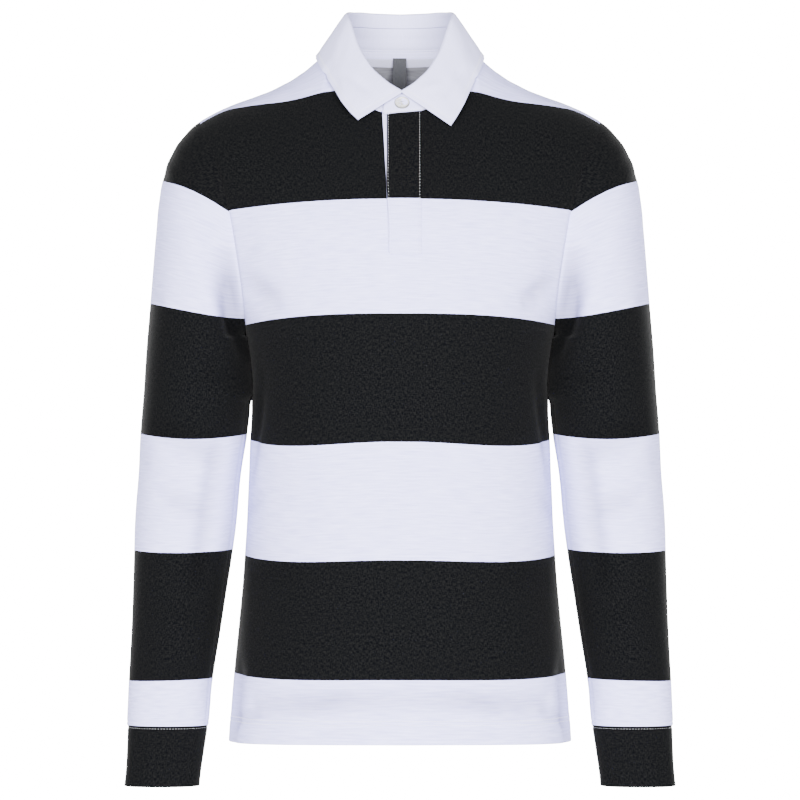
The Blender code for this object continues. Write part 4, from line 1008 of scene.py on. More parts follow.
sleeve_curves = ring_curves(SLEEVE)
sleeve_places = [0.0, 0.02, 0.04, 0.07, 0.10, 0.125, 0.18, 0.25, 0.375]
sleeve_places += [step / SLEEVE_CELLS for step in range(4, 18 * SLEEVE_CELLS + 5)]
sleeve_places += [18.60, 18.69, 18.75, 18.78, SLEEVE_STITCH_PLACE, 18.84, 18.88, 18.92, 18.96, 18.98, 19.0]


def way_round(angles):
    """Share of the way from the outer side of a sleeve to its inner side."""
    turn = np.mod(angles, 2 * np.pi)
    return np.minimum(turn, 2 * np.pi - turn) / np.pi


def sleeve_rings():
    """Rows of points of the left sleeve, its angles, and its painted fold shade, round from the underarm.
    """
    centre, reach, half = ring_frame(sleeve_curves, 0)
    across = (plain_armhole - centre) @ reach / (reach @ reach)
    deep = (centre[1] - plain_armhole[:, 1]) / half
    angles = np.arctan2(signed_power(deep, SLEEVE_FULL / 2), signed_power(across, SLEEVE_FULL / 2))
    angles = np.unwrap(angles)
    shape = plain_armhole - ring_points(sleeve_curves, 0, angles, SLEEVE_FULL)
    even = angles[0] + 2 * np.pi * np.arange(len(angles)) / len(angles)
    rings, turns, pressed = [], [], []
    for place in sleeve_places:
        kept = max(1 - place / CAP_RINGS, 0.0) ** 2
        evened = smooth(min(place / (2 * CAP_RINGS), 1.0))
        turn = mix(angles, even, evened) - SEAM_TWIST * smooth(min(place / TWIST_RINGS, 1.0))
        points = ring_points(sleeve_curves, place, turn, SLEEVE_FULL) + shape * kept
        flat = unit((points - ring_frame(sleeve_curves, place)[0]) * (1.0, 1.0, 0.0))
        out, in_front = way_round(turn), np.mod(turn, 2 * np.pi) < np.pi
        front, back, shade = (trough(folds, SLEEVE_GIRTH, out, points[:, 2])
                              for folds in (SLEEVE_FRONT_FOLDS, SLEEVE_BACK_FOLDS, SLEEVE_FRONT_SHADES))
        depth = np.where(in_front, front, back)
        depth *= np.sin(np.pi * out) ** 0.5 * (1 - max(1 - place / FOLDS_FROM_RING, 0.0) ** 2)
        rings.append(points - flat * depth[:, None])
        turns.append(turn)
        # how deep in its folds and painted shades a point lies, for the shade painted into the colour
        pressed.append(fold_share(depth + np.where(in_front, shade, 0.0)))
    return np.array(rings), np.array(turns), np.array(pressed)


def sleeve_measures(rings):
    """Measure up the sleeve's cloth, in step with the hoops of the body."""
    marks = [mark.place for mark in HOOP_RINGS]
    values = [mark.measure for mark in HOOP_RINGS]
    foot, elbow = values[0], rings[sleeve_places.index(marks[0]), :, 2]
    measures = np.zeros(rings.shape[:2])
    for index, place in enumerate(sleeve_places):
        if place >= marks[0]:
            measures[index] = np.interp(place, marks, values)
            continue
        for station, (x, _, z) in enumerate(rings[index]):
            lower, middle, upper = elbow[station], SLEEVE_UPPER(x), SLEEVE_BREAST(x)
            if z < middle:
                measures[index, station] = foot + STRIPE_PITCH * (z - lower) / (middle - lower)
            elif z < upper:
                part = (z - middle) / (upper - middle)
                measures[index, station] = foot + STRIPE_PITCH * (1 + part)
            else:
                past = min(z - upper, STRIPE_PITCH * 0.95)
                measures[index, station] = foot + STRIPE_PITCH * 2 + past
    return measures


left_sleeve, sleeve_turns, sleeve_fold_shade = sleeve_rings()
sleeve_measure = sleeve_measures(left_sleeve)
underarm_station = int(np.argmin(np.abs(sleeve_turns[0] - np.pi)))


def from_underarm(values):
    """The stations round the sleeve in order from its seam, closed on themselves."""
    rolled = np.roll(values, -underarm_station, axis=1)
    return np.concatenate([rolled, rolled[:, :1]], axis=1)


def mirrored(points):
    """The same points or directions on the other side of the shirt."""
    return np.asarray(points) * np.array([-1.0, 1.0, 1.0])


def against_body(rings):
    """The sleeve's inner side pressed against the side of the body below the underarm."""
    pressed = rings.copy()
    for row, column in np.argwhere((rings[..., 2] < PRESS_TOP) & (rings[..., 2] > PRESS_FOOT)):
        x, y, height = rings[row, column]
        width, depth, full = section(FRONT if y < 0 else BACK, min(height, UNDERARM_HEIGHT))
        body = width * max(1 - abs(y / depth) ** full, 0.0) ** (1 / full) + BODY_CLEAR
        near = smooth(clamp(1 - (x - PRESS_FROM_X) / PRESS_REACH))
        low = smooth(clamp((height - PRESS_FOOT) / PRESS_FOOT_FADE))
        low *= smooth(clamp((PRESS_TOP - height) / PRESS_TOP_FADE))
        pressed[row, column, 0] = max(x - BODY_PRESS * near * low, min(body, x))
    return pressed


def sewn_tube(rings, edge_shift):
    """A sleeve drawn in at the armhole, at its seam and at the cuff."""
    run = run_along(rings, 0)
    rings = rings + bell(run, SEAM_DIP_WIDTH)[..., None] * edge_shift
    from_seam = from_ends(run_along(rings, 1))
    centres = rings[:, :-1].mean(axis=1, keepdims=True)
    away = np.clip(run / SLEEVE_SEAM_FROM, 0, 1)[..., None]
    rings = mix(rings, drawn_in(rings, from_seam, centres), away * SLEEVE_SEAM_SHARE)
    rings = drawn_in(rings, run[-1:] - run, centres, CUFF_DIP)
    stitched = run[sleeve_places.index(SLEEVE_STITCH_PLACE)]
    return rings - outward(rings) * (GROOVE * bell(run - stitched, GROOVE_WIDTH))[..., None]


sleeve_measure = from_underarm(sleeve_measure)
left_sleeve = against_body(from_underarm(left_sleeve))
left_sleeve = sewn_tube(left_sleeve, from_underarm((sewn_armhole - plain_armhole)[None]))
stitch_row = sleeve_places.index(SLEEVE_STITCH_PLACE)
sleeve_line = left_sleeve[stitch_row]
sleeve_off = outward(left_sleeve)[stitch_row]
for side, points, flip in (("left", left_sleeve, False), ("right", mirrored(left_sleeve), True)):
    sleeve = cloth(f"sleeve_{side}_jersey", points, JERSEY_WALL, hooped, sleeve_measure, flip=flip,
                   inside=inside_painted_shade, pressed=from_underarm(sleeve_fold_shade))
    dressed(sleeve, [f"sleeve_{side}"], (0.40, 0.64), 0.169)
sewn("sleeve_stitches", [(sleeve_line, sleeve_off), (mirrored(sleeve_line), mirrored(sleeve_off))],
     length=0.0016, gap=0.0014)

# --- Cuffs --------------------------------------------------------------------
# Plain black jersey, cut double, folded at the wrist, sewn to the sleeve's end and
# topstitched in white below the seam.
CUFF = (
    Ring(0, 0.2706, -0.6647, 0.1908, -0.6647, -0.0612, 0.0022, 0.000),
    Ring(1, 0.2713, -0.6900, 0.1946, -0.6900, -0.0610, -0.0024, 0.000),
    Ring(2, 0.2725, -0.7120, 0.1977, -0.7120, -0.0614, -0.0074, 0.000),
    Ring(3, 0.2738, -0.7238, 0.1988, -0.7238, -0.0616, -0.0100, 0.000),
)
CUFF_LENGTH, CUFF_GIRTH, CUFF_CELLS = 0.060, 0.11, 120
CUFF_SEAM, CUFF_SEAM_SHARE = math.pi - 0.83, 0.6
CUFF_PLACES = (3.0, 2.85, 2.6, 2.3, 2.0, 1.7, 1.4, 1.1, 0.8, 0.5, 0.3, 0.2, 0.15, 0.12, 0.09, 0.06,
               0.03, 0.0)
CUFF_STITCH_ROW, CUFF_TURNED_ROWS = CUFF_PLACES.index(0.09), (17, 13, 10, 7, 4, 2)
CUFF_FOLDS = (
    Fold(0.52, -0.722, 0.46, -0.672, 0.007, 0.0007),
    Fold(0.24, -0.720, 0.30, -0.676, 0.006, 0.0006),
    Fold(0.74, -0.718, 0.80, -0.680, 0.006, 0.0006),
)
cuff_curves = ring_curves(CUFF)
cuff_angles = CUFF_SEAM + 2 * np.pi * np.arange(CUFF_CELLS + 1) / CUFF_CELLS
left_cuff = np.array([ring_points(cuff_curves, place, cuff_angles, SLEEVE_FULL) for place in CUFF_PLACES])
cuff_measure = run_along(left_cuff, 0)
cuff_measure *= CUFF_LENGTH / cuff_measure[-1].mean()
cuff_out = np.broadcast_to(way_round(cuff_angles), left_cuff.shape[:2])
cuff_press = trough(CUFF_FOLDS, CUFF_GIRTH, cuff_out, left_cuff[:, :, 2])
left_cuff += outward(left_cuff) * cuff_press[..., None]
cuff_centres = left_cuff[:, :-1].mean(axis=1, keepdims=True)
left_cuff = drawn_in(left_cuff, cuff_measure[-1:] - cuff_measure, cuff_centres, CUFF_DIP)
cuff_seamed = drawn_in(left_cuff, from_ends(run_along(left_cuff, 1)), cuff_centres)
left_cuff = mix(left_cuff, cuff_seamed, CUFF_SEAM_SHARE)
cuff_groove = GROOVE * bell(cuff_measure - cuff_measure[CUFF_STITCH_ROW], GROOVE_WIDTH)
left_cuff += outward(left_cuff) * cuff_groove[..., None]


def black_jersey():
    """Plain black jersey, a little faded and mottled."""
    material, place, across, along = cloth_paint("black_jersey", JERSEY_ROUGHNESS, JERSEY_SHEEN)
    # shade painted into the colour in the folds, by the piece's "pressed" attribute, which is nought on the
    # cuffs
    colour = painted_fold_shade(material, black_shade(place))
    return coloured(material, colour, knit(place, across, along), KNIT_DISTANCE, KNIT_STRENGTH)


cuff_cloth = black_jersey()
cuff_off = -outward(left_cuff)[CUFF_STITCH_ROW]
cuff_line = left_cuff[CUFF_STITCH_ROW]
cuff_turned, cuff_turned_measure = turned_up(left_cuff, cuff_measure, CUFF_TURNED_ROWS, -1.0)
for side, points, flip in (("left", cuff_turned, True), ("right", mirrored(cuff_turned), False)):
    cuff = cloth(f"cuff_{side}_jersey", points, JERSEY_WALL, cuff_cloth, cuff_turned_measure, flip=flip)
    dressed(cuff, [f"cuff_{side}"], (0.205, 0.122), 0.0240)
sewn("cuff_stitches", [(cuff_line, cuff_off), (mirrored(cuff_line), mirrored(cuff_off))],
     length=0.0011, gap=0.0018, half=0.00013)

# --- Placket -------------------------------------------------------------------
# The neck opening is faced with two strips.  The under one is white drill, and its edge
# just shows.  The top one is a folded strip of the hooped jersey, cut so that its hoops
# meet the front's, laid over the opening and sewn down one side and across the foot.
PLACKET_FOOT, PLACKET_CORNER = -0.2009, 0.0045
PLACKET_BOX_HEIGHT = -0.1858        # of the stitches across it
PLACKET_STITCH_IN = 0.0014          # from the free edge to its stitches
PLACKET_STITCH_X = 0.0193
PLACKET_LIFT, PLACKET_FOOT_LIFT, PLACKET_EDGE_LIFT, PLACKET_WALL = 0.0018, 0.0011, 0.0005, 0.0013
PLACKET_FALL, PLACKET_FOOT_FALL, PLACKET_INNER_X, PLACKET_CELLS = 0.0018, 0.002, 0.0165, 12
PLACKET_DIP, PLACKET_DIP_WIDTH = 0.00065, 0.0007
PLACKET_ROW_STEP, PLACKET_FOOT_HEIGHT, GROOVE_CLEAR = 0.0025, 0.010, 0.0016
PLACKET_FOOT_ROWS = (0.0, 0.0005, 0.0012, 0.0021, 0.0032, 0.0045, 0.0060, 0.0078)
GROOVE_STEPS = (-0.0014, -0.0007, 0.0, 0.0007, 0.0014)      # across a row of stitches
EDGE_STEPS = (0.0, 0.0004, 0.0009, 0.0012)                  # in from the free edge
FreeEdge = namedtuple("FreeEdge", "height x")
PLACKET_FREE_EDGE = (
    FreeEdge(-0.2009, -0.0108), FreeEdge(-0.1620, -0.0110), FreeEdge(-0.1460, -0.0123),
    FreeEdge(-0.1000, -0.0128), FreeEdge(-0.0600, -0.0128),
)
UNDER_BEHIND, UNDER_REACH, UNDER_FOOT, UNDER_WALL = 0.0010, 0.0040, -0.1970, 0.0012
UNDER_EDGE_X, UNDER_SPREADS = -0.0118, 0.0060       # its right edge, which goes further at the neck
UNDER_CELLS = 22
placket_free_edge = curve(PLACKET_FREE_EDGE, "height", "x")
front_middle = SLOT_COLUMN + STRIP_CELLS // 2
front_last = len(plain_front) - 1
front_heights = plain_front[:, front_middle, 2]


def front_strip(row, across, lift):
    """Points off the front at distances across one of its rows, their measure and way out."""
    low = min(int(row), front_last - 1)
    points = mix(plain_front[low], plain_front[low + 1], row - low)
    measure = mix(front_measure[low], front_measure[low + 1], row - low)
    rise = plain_front[low + 1, front_middle] - plain_front[low, front_middle]
    off = np.array([0.0, -rise[2], rise[1]]) / np.linalg.norm(rise)
    deep, up = (np.interp(across, points[:, 0], points[:, axis]) for axis in (1, 2))
    placed = np.stack([across, deep, up], axis=1)
    return placed + off * np.reshape(lift, (-1, 1)), np.interp(across, points[:, 0], measure), off


def row_centre(row):
    """Height of a row of the front on its centre line."""
    return float(np.interp(row, np.arange(front_last + 1), front_heights))


def placket_rows(foot, marks):
    """Rows of the front from a foot to the neck, close together at the marks."""
    heights = list(np.arange(foot + PLACKET_FOOT_HEIGHT, NECK_FRONT_HEIGHT - 0.001, PLACKET_ROW_STEP))
    heights += [foot + rise for rise in PLACKET_FOOT_ROWS]
    heights = [height for height in heights if all(abs(height - mark) > GROOVE_CLEAR for mark in marks)]
    heights += [mark + step for mark in marks for step in GROOVE_STEPS]
    return list(np.interp(sorted(heights), front_heights, np.arange(front_last + 1))) + [float(front_last)]


def placket_edge_x(height):
    """Where the top strip's free edge passes a height, round at its lower corner."""
    under = max(PLACKET_CORNER - (height - PLACKET_FOOT), 0.0)
    return placket_free_edge(height) + PLACKET_CORNER - math.sqrt(PLACKET_CORNER ** 2 - under ** 2)


def top_strip():
    """Points and measures of the top strip, and the lines of its stitches."""
    grid, measures, left, right, box = [], [], [], [], []
    for row in placket_rows(PLACKET_FOOT, (PLACKET_BOX_HEIGHT,)):
        height = row_centre(row)
        edge = placket_edge_x(height)
        seam = placket_free_edge(height) + PLACKET_STITCH_IN
        across = [edge + step for step in EDGE_STEPS[:3]]
        across += [max(edge + EDGE_STEPS[3] + step * 0.0002, seam + step * 0.0005) for step in (0, 1, 2, 4)]
        across += list(np.linspace(across[-1] + 0.002, PLACKET_INNER_X, PLACKET_CELLS))
        across += [PLACKET_STITCH_X + step for step in GROOVE_STEPS[:4] + (0.0013, 0.0020)]
        across = np.array(across)
        fall = smooth(np.clip((across - PLACKET_STITCH_X) / PLACKET_FALL, 0, 1))
        lift = mix(PLACKET_LIFT, PLACKET_EDGE_LIFT, fall)
        at_foot = smooth(clamp((height - PLACKET_FOOT) / PLACKET_FOOT_FALL))
        lift = mix(PLACKET_FOOT_LIFT, lift, at_foot)
        for away in (across - seam, across - PLACKET_STITCH_X, height - PLACKET_BOX_HEIGHT):
            lift -= PLACKET_DIP * bell(away, PLACKET_DIP_WIDTH)
        points, measure, off = front_strip(row, across, lift)
        grid.append(points)
        measures.append(measure)
        on_left, on_right = on_line((seam, PLACKET_STITCH_X), across, points)
        if height > PLACKET_FOOT + PLACKET_FOOT_ROWS[2]:
            left.append((on_left, off))
            right.append((on_right, off))
        if abs(height - PLACKET_BOX_HEIGHT) < 1e-5:
            box = [(point, off) for point, x in zip(points, across) if seam < x < PLACKET_STITCH_X]
    return np.array(grid), np.array(measures), (left, right, box)


def under_strip():
    """Points of the under strip, behind the front and past the opening's edges."""
    grid = []
    for row in placket_rows(UNDER_FOOT, ()):
        across = np.linspace(UNDER_EDGE_X - UNDER_REACH, SLOT_RIGHT_X + UNDER_REACH, UNDER_CELLS)
        wider = UNDER_SPREADS * clamp((row_centre(row) - CHEST_HEIGHT) / NECK_RISE) ** 1.5
        across[:4] -= wider * np.array([1.0, 0.75, 0.5, 0.25])
        grid.append(front_strip(row, across, -UNDER_BEHIND)[0])
    return np.array(grid)


DRILL = (0.570, 0.566, 0.860, 1.0)
DRILL_THIN = (0.500, 0.497, 0.770, 1.0)
TWILL, TWILL_SLOPE, TWILL_RISE = 0.0011, 1.7, 0.3
DRILL_THREADS, DRILL_NAP, DRILL_NAP_RISE = (1400, 70, 1), (900, 900, 1), 1.2


def white_drill():
    """White cotton drill: a fine steep twill with a few thick threads."""
    material, place, across, along = cloth_paint("white_drill", 0.9, 0.05)
    twill = waves(along * TWILL_SLOPE + across, TWILL)
    colour = blend(mottle(place, DRILL_THREADS, 3.0) * 2.0 - 0.5, DRILL_THIN, DRILL)
    height = twill * TWILL_RISE + mottle(place, DRILL_NAP, 3.0) * DRILL_NAP_RISE
    return coloured(material, colour, height, 0.00014, 0.45)


drill = white_drill()
under = cloth("placket_under_drill", under_strip(), UNDER_WALL, drill)
dressed(under, ["placket_under"], (0.049, 0.143), 0.0068)
strip_grid, strip_measure, strip_lines = top_strip()
strip = cloth("placket_top_jersey", strip_grid, PLACKET_WALL, hooped, strip_measure, rounded=0.0004)
dressed(strip, ["placket_top"], (0.036, 0.160), 0.0056)
sewn("placket_stitches", [zip(*line) for line in strip_lines],
     length=0.0011, gap=0.0022, half=0.00018)

# --- Collar stand ----------------------------------------------------------------
# A doubled band of white drill that stands round the neck.  It takes the edge of the
# body between its layers, laps over in front with a rounded end, and is topstitched
# along its foot, and twice more inside at the back where the tape is caught.
Round = namedtuple("Round", "angle height")
STAND_TOPS = (
    Round(0, -0.0410), Round(21, -0.0305), Round(41, -0.0150), Round(53, -0.0030), Round(65, 0.0110),
    Round(78, 0.0235), Round(95, 0.0310), Round(120, 0.0331), Round(150, 0.0335), Round(180, 0.0335),
)
STAND_REACH_X, STAND_FRONT_Y, STAND_BACK_Y = 0.0560, -0.0595, 0.0605
STAND_UNDER_X, STAND_OVER_X, STAND_CORNER, STAND_LAP_DROP = 0.010, -0.0162, 0.0042, 0.0042
STAND_LIFT, STAND_LIFTS_FROM_X = 0.0019, 0.046
STAND_PROUD, STAND_SINKS, STAND_WALL = 0.0007, 0.0010, 0.0016
STAND_UNDER_SINKS = 0.0006          # the under end, behind the lap
STAND_ROWS = (0.0, 0.0007, 0.0013, 0.0018, 0.0023, 0.0030, 0.0045, 0.0060, 0.0068, 0.0080, 0.0092, 0.0104)
STAND_STITCH_ROW, STAND_INSIDE_ROWS, STAND_ROWS_ABOVE = 3, (8, 10), 8
STAND_INSIDE = slice(10, -14)       # columns that the stitches inside run over
STAND_DIP, STAND_INSIDE_DIP, STAND_DIP_WIDTH = 0.0005, 0.0007, 0.0007
STAND_BACK_FROM_Y, STAND_BACK_FADE = 0.01, 0.03
BUCKLE, BUCKLE_HEIGHT, BUCKLE_WIDTH = 0.0009, 0.0205, 0.0026        # of the stand's back
BUCKLE_WAVES, BUCKLE_PHASE = 95, 0.6
LAP_EARLY, LAP_ROUND = 4, 0.7       # columns that lift before the lap passes the slot
LAP_X = (0.0165, 0.012, 0.008, 0.004, 0.0, -0.004, -0.008, -0.0115, -0.0132, -0.0145, -0.0154, -0.0160,
         STAND_OVER_X)
UNDER_END_X = (STAND_UNDER_X, 0.005, 0.0, -0.005, -0.010, -0.014)
UNDER_END_TO_X = -0.020
NECK_REACH_Y = 0.072
stand_height = curve(STAND_TOPS, "angle", "height")


def stand_top(angle, side):
    """Top of the stand, by the angle round the neck from the front."""
    depth = STAND_FRONT_Y if angle < math.pi / 2 else -STAND_BACK_Y
    return np.array([side * STAND_REACH_X * math.sin(angle), depth * math.cos(angle),
                     stand_height(math.degrees(angle))])


def neck_edge():
    """Feet of the stand's columns, from its under end round the back to the lap's end."""
    corner, back_middle = SLOT_COLUMN - NECK_CELLS, len(back_out) // 2
    under_end, flat_left, lap = (front_strip(front_last, np.array(across), 0.0)[0]
                                 for across in (UNDER_END_X, [SLOT_RIGHT_X], LAP_X))
    right = plain_front[-1, corner:SLOT_COLUMN + 1][::-1]
    ridge = plain_back[LAST_NECK_ROW + 1:-1, back_middle + NECK_CELLS][::-1]
    behind = plain_back[LAST_NECK_ROW, back_middle - NECK_CELLS:back_middle + NECK_CELLS + 1][::-1]
    left = mirrored(right)[::-1][:-2]
    return np.concatenate([under_end, right, ridge, behind, mirrored(ridge)[::-1], left, flat_left, lap])


def stand_grid():
    """Points of the stand's outer side, and which way is off it."""
    feet = neck_edge()
    first_over = len(feet) - len(LAP_X) - LAP_EARLY
    columns, ways = [], []
    for index, foot in enumerate(feet):
        side = 1 if foot[0] > 0 else -1
        over = index >= first_over
        head = stand_top(math.atan2(abs(foot[0]) / NECK_POINT_X, -foot[1] / NECK_REACH_Y), side)
        rise = unit(head - foot)
        flat = unit(np.array([foot[0] / NECK_POINT_X, foot[1] / NECK_REACH_Y, 0.0]))
        off = unit(flat - rise * (flat @ rise))
        lift, drop, inset = STAND_PROUD, 0.0, 0.0
        if over:
            near = (STAND_LIFTS_FROM_X - foot[0]) / (STAND_LIFTS_FROM_X - SLOT_RIGHT_X)
            lift += STAND_LIFT * smooth(clamp(near))
            inset = max(STAND_CORNER - (foot[0] - STAND_OVER_X), 0.0)
            past = clamp((SLOT_RIGHT_X - foot[0]) / (SLOT_RIGHT_X - STAND_OVER_X))
            drop = STAND_LAP_DROP * past ** LAP_ROUND
        elif foot[1] < 0 and foot[0] > UNDER_END_TO_X:
            lift -= STAND_UNDER_SINKS
        start = foot - rise * (STAND_SINKS + drop)
        start = start + rise * (STAND_CORNER - math.sqrt(max(STAND_CORNER ** 2 - inset ** 2, 0.0)))
        length = np.linalg.norm(head - start)
        rows = list(STAND_ROWS) + list(np.linspace(STAND_ROWS[-1], length, STAND_ROWS_ABOVE + 1))[1:]
        behind = smooth(clamp((foot[1] - STAND_BACK_FROM_Y) / STAND_BACK_FADE))
        wave = 0.75 + 0.25 * math.sin(foot[0] * BUCKLE_WAVES + BUCKLE_PHASE)
        column = []
        for up in rows:
            out = lift - STAND_DIP * bell(up - STAND_ROWS[STAND_STITCH_ROW], STAND_DIP_WIDTH)
            out += sum(STAND_INSIDE_DIP * behind * bell(up - STAND_ROWS[inside], STAND_DIP_WIDTH)
                       for inside in STAND_INSIDE_ROWS)
            out += BUCKLE * behind * wave * bell(up - BUCKLE_HEIGHT, BUCKLE_WIDTH)
            column.append(start + rise * up + off * out)
        columns.append(column)
        ways.append(off)
    return np.array(columns).transpose(1, 0, 2), np.array(ways)


stand_points, stand_ways = stand_grid()
stand = cloth("collar_stand_drill", stand_points, STAND_WALL, drill, run_along(stand_points, 0),
              flip=True, rounded=0.00035)
dressed(stand, ["collar_stand"], (0.42, 0.036), 0.0145)
inside_ways = -stand_ways[STAND_INSIDE]
stand_inside = [(stand_points[row, STAND_INSIDE] + inside_ways * STAND_WALL, inside_ways)
                for row in STAND_INSIDE_ROWS]
sewn("stand_stitches", [(stand_points[STAND_STITCH_ROW], stand_ways)] + stand_inside,
     length=0.0020, gap=0.0008, half=0.00022)

# --- Collar leaf -----------------------------------------------------------------
# Two layers of white drill, sewn to the stand's top edge, folded over and pressed flat
# down to the shoulders.  Its points spread in front, and two rows of stitches run
# round inside its edge.
Leaf = namedtuple("Leaf", "angle x y height")
LEAF_RIGHT = (
    Leaf(0, -0.0409, -0.0885, -0.0667), Leaf(25, -0.0545, -0.0800, -0.0520),
    Leaf(50, -0.0650, -0.0610, -0.0350), Leaf(75, -0.0775, -0.0300, -0.0130),
    Leaf(100, -0.0838, 0.0060, 0.0010), Leaf(125, -0.0770, 0.0450, 0.0020),
    Leaf(150, -0.0480, 0.0730, 0.0000), Leaf(180, 0.0000, 0.0840, -0.0010),
)
LEAF_LEFT = (
    Leaf(0, 0.0497, -0.0900, -0.0725), Leaf(25, 0.0600, -0.0800, -0.0560),
    Leaf(50, 0.0690, -0.0610, -0.0370), Leaf(75, 0.0790, -0.0300, -0.0135),
) + tuple(leaf._replace(x=-leaf.x) for leaf in LEAF_RIGHT[4:])
FOLD_HEIGHTS = (
    Round(0, -0.0364), Round(21, -0.0226), Round(41, -0.0030), Round(53, 0.0120), Round(65, 0.0290),
    Round(78, 0.0400), Round(95, 0.0450), Round(120, 0.0481), Round(150, 0.0488), Round(180, 0.0484),
)
FOLD_REACH_X, FOLD_FRONT_Y, FOLD_BACK_Y = 0.0540, -0.0655, 0.0625
FOLD_HALF, FOLD_DROP = 0.0030, 0.0028
LEAF_FRONT_ANGLE, LEAF_ANGLES = math.radians(0.6), 60
LEAF_BULGE, LEAF_REST, LEAF_WALL, LEAF_INSIDE = 0.0008, 0.0034, 0.0013, 0.0009
LEAF_SAMPLES, LEAF_FOLD_ROW = 5, 16
LEAF_STITCHES, LEAF_DIP, LEAF_DIP_WIDTH = (0.0048, 0.0062), 0.0006, 0.0014
LEAF_START, LEAF_BULGES_BY = 0.0003, 40         # above the stand's top, and degrees round
LEAF_CROWDS = 1.15          # how its columns crowd towards the front
FALL_SHARES = (0.33, 0.68)  # of the way from the fold to the edge
FOLD_BACK_DROP = 0.12       # of its climb, where the leaf's inner layer turns over
LEAVES_MEET_X = 0.0018
LEAF_LEFT_FOLDS = (
    Fold(0.0434, -0.0410, 0.0585, -0.0145, 0.0024, 0.0022),
    Fold(0.0217, -0.0360, 0.0395, -0.0300, 0.0022, -0.0016),
    Fold(0.0560, -0.0240, 0.0640, -0.0120, 0.0026, 0.0014),
    Fold(0.0480, -0.0560, 0.0560, -0.0330, 0.0035, 0.0010),
)
LEAF_RIGHT_FOLDS = (
    Fold(-0.0300, -0.0380, -0.0520, -0.0200, 0.0040, 0.0015),
    Fold(-0.0560, -0.0330, -0.0600, -0.0120, 0.0030, -0.0012),
    Fold(-0.0620, -0.0080, -0.0540, 0.0200, 0.0035, 0.0012),
)
LEAF_BACK_FOLDS = (
    Fold(-0.0300, 0.0100, -0.0180, 0.0360, 0.0040, 0.0007),
    Fold(0.0350, 0.0080, 0.0240, 0.0330, 0.0050, 0.0006),
)
fold_height = curve(FOLD_HEIGHTS, "angle", "height")
leaf_edge = {side: [curve(table, "angle", column) for column in ("x", "y", "height")]
             for side, table in ((-1, LEAF_RIGHT), (1, LEAF_LEFT))}


def surface_of(*pieces):
    """The surfaces of some pieces, for others to lie on."""
    points, faces = [], []
    for piece in pieces:
        first = len(points)
        points += [vertex.co.copy() for vertex in piece.data.vertices]
        faces += [[first + index for index in face.vertices] for face in piece.data.polygons]
    return BVHTree.FromPolygons(points, faces)


def laid_on(point, surface, rest):
    """A point moved off a surface until it rests at a distance above it."""
    nearest, normal, _, distance = surface.find_nearest(Vector(point))
    if distance > 2 * rest:
        return point
    over = (Vector(point) - nearest).dot(normal)
    return point + np.array(normal) * max(rest - over, 0.0)


def leaf_profile(angle, side, surface):
    """Main points of the leaf from the stand over the fold to its edge, at an angle."""
    foot = stand_top(angle, side)
    depth = FOLD_FRONT_Y if angle < math.pi / 2 else -FOLD_BACK_Y
    fold = np.array([side * FOLD_REACH_X * math.sin(angle), depth * math.cos(angle),
                     fold_height(math.degrees(angle))])
    aside = np.array([LEAVES_MEET_X * max(1 - angle, 0.0), 0.0, 0.0])
    foot, fold = foot + aside, fold + aside
    away = unit(fold * np.array([1.0, 1.0, 0.0]))
    rise = np.array([0.0, 0.0, 1.0])
    start = foot - away * LEAF_INSIDE + rise * LEAF_START
    edge = np.array([place(math.degrees(angle)) for place in leaf_edge[side]])
    over = fold + away * FOLD_HALF - rise * FOLD_DROP
    run = edge - over
    off = unit(away - run * (away @ run) / (run @ run))
    bulge = off * LEAF_BULGE * smooth(min(math.degrees(angle) / LEAF_BULGES_BY, 1.0))
    fall = [mix(over, edge, FALL_SHARES[0]) + bulge, mix(over, edge, FALL_SHARES[1]) + bulge * 0.8, edge]
    climb = fold[2] - start[2]
    back_of_fold = fold - away * FOLD_HALF - rise * climb * FOLD_BACK_DROP
    inward = min((back_of_fold - start) @ away, 0.0)
    points = [start, start + rise * climb * 0.5 + away * inward * 0.5, back_of_fold, fold, over]
    return points + [laid_on(point, surface, LEAF_REST) for point in fall]


def through(points, samples):
    """A smooth line through some points, with samples to each stretch."""
    ends = [2 * points[0] - points[1]] + list(points) + [2 * points[-1] - points[-2]]
    line = []
    for first, second, third, fourth in zip(ends, ends[1:], ends[2:], ends[3:]):
        for i in range(samples):
            part = i / samples
            bend = (2 * first - 5 * second + 4 * third - fourth) * part ** 2
            turn = (3 * second - first - 3 * third + fourth) * part ** 3
            line.append((2 * second + (third - first) * part + bend + turn) / 2)
    return line + [points[-1]]


def leaf_grid(surface):
    """Points of the leaf by row from the stand to its edge, and column round the neck."""
    shares = [(i / LEAF_ANGLES) ** LEAF_CROWDS for i in range(LEAF_ANGLES + 1)]
    angles = [mix(LEAF_FRONT_ANGLE, math.pi, share) for share in shares]
    places = [(angle, -1) for angle in angles] + [(angle, 1) for angle in angles[-2::-1]]
    columns = [through(leaf_profile(angle, side, surface), LEAF_SAMPLES) for angle, side in places]
    return np.array(columns).transpose(1, 0, 2)


def from_edges(grid):
    """Distance of each point of the leaf from its nearest free edge."""
    along, down = run_along(grid, 1), run_along(grid, 0)
    return np.minimum(np.minimum(along, along[:, -1:] - along), down[-1:] - down)


def passing(values, target):
    """Index at which rising values reach a target, and how far on from the one before."""
    index = int(np.searchsorted(values, target))
    return index, (target - values[index - 1]) / (values[index] - values[index - 1])


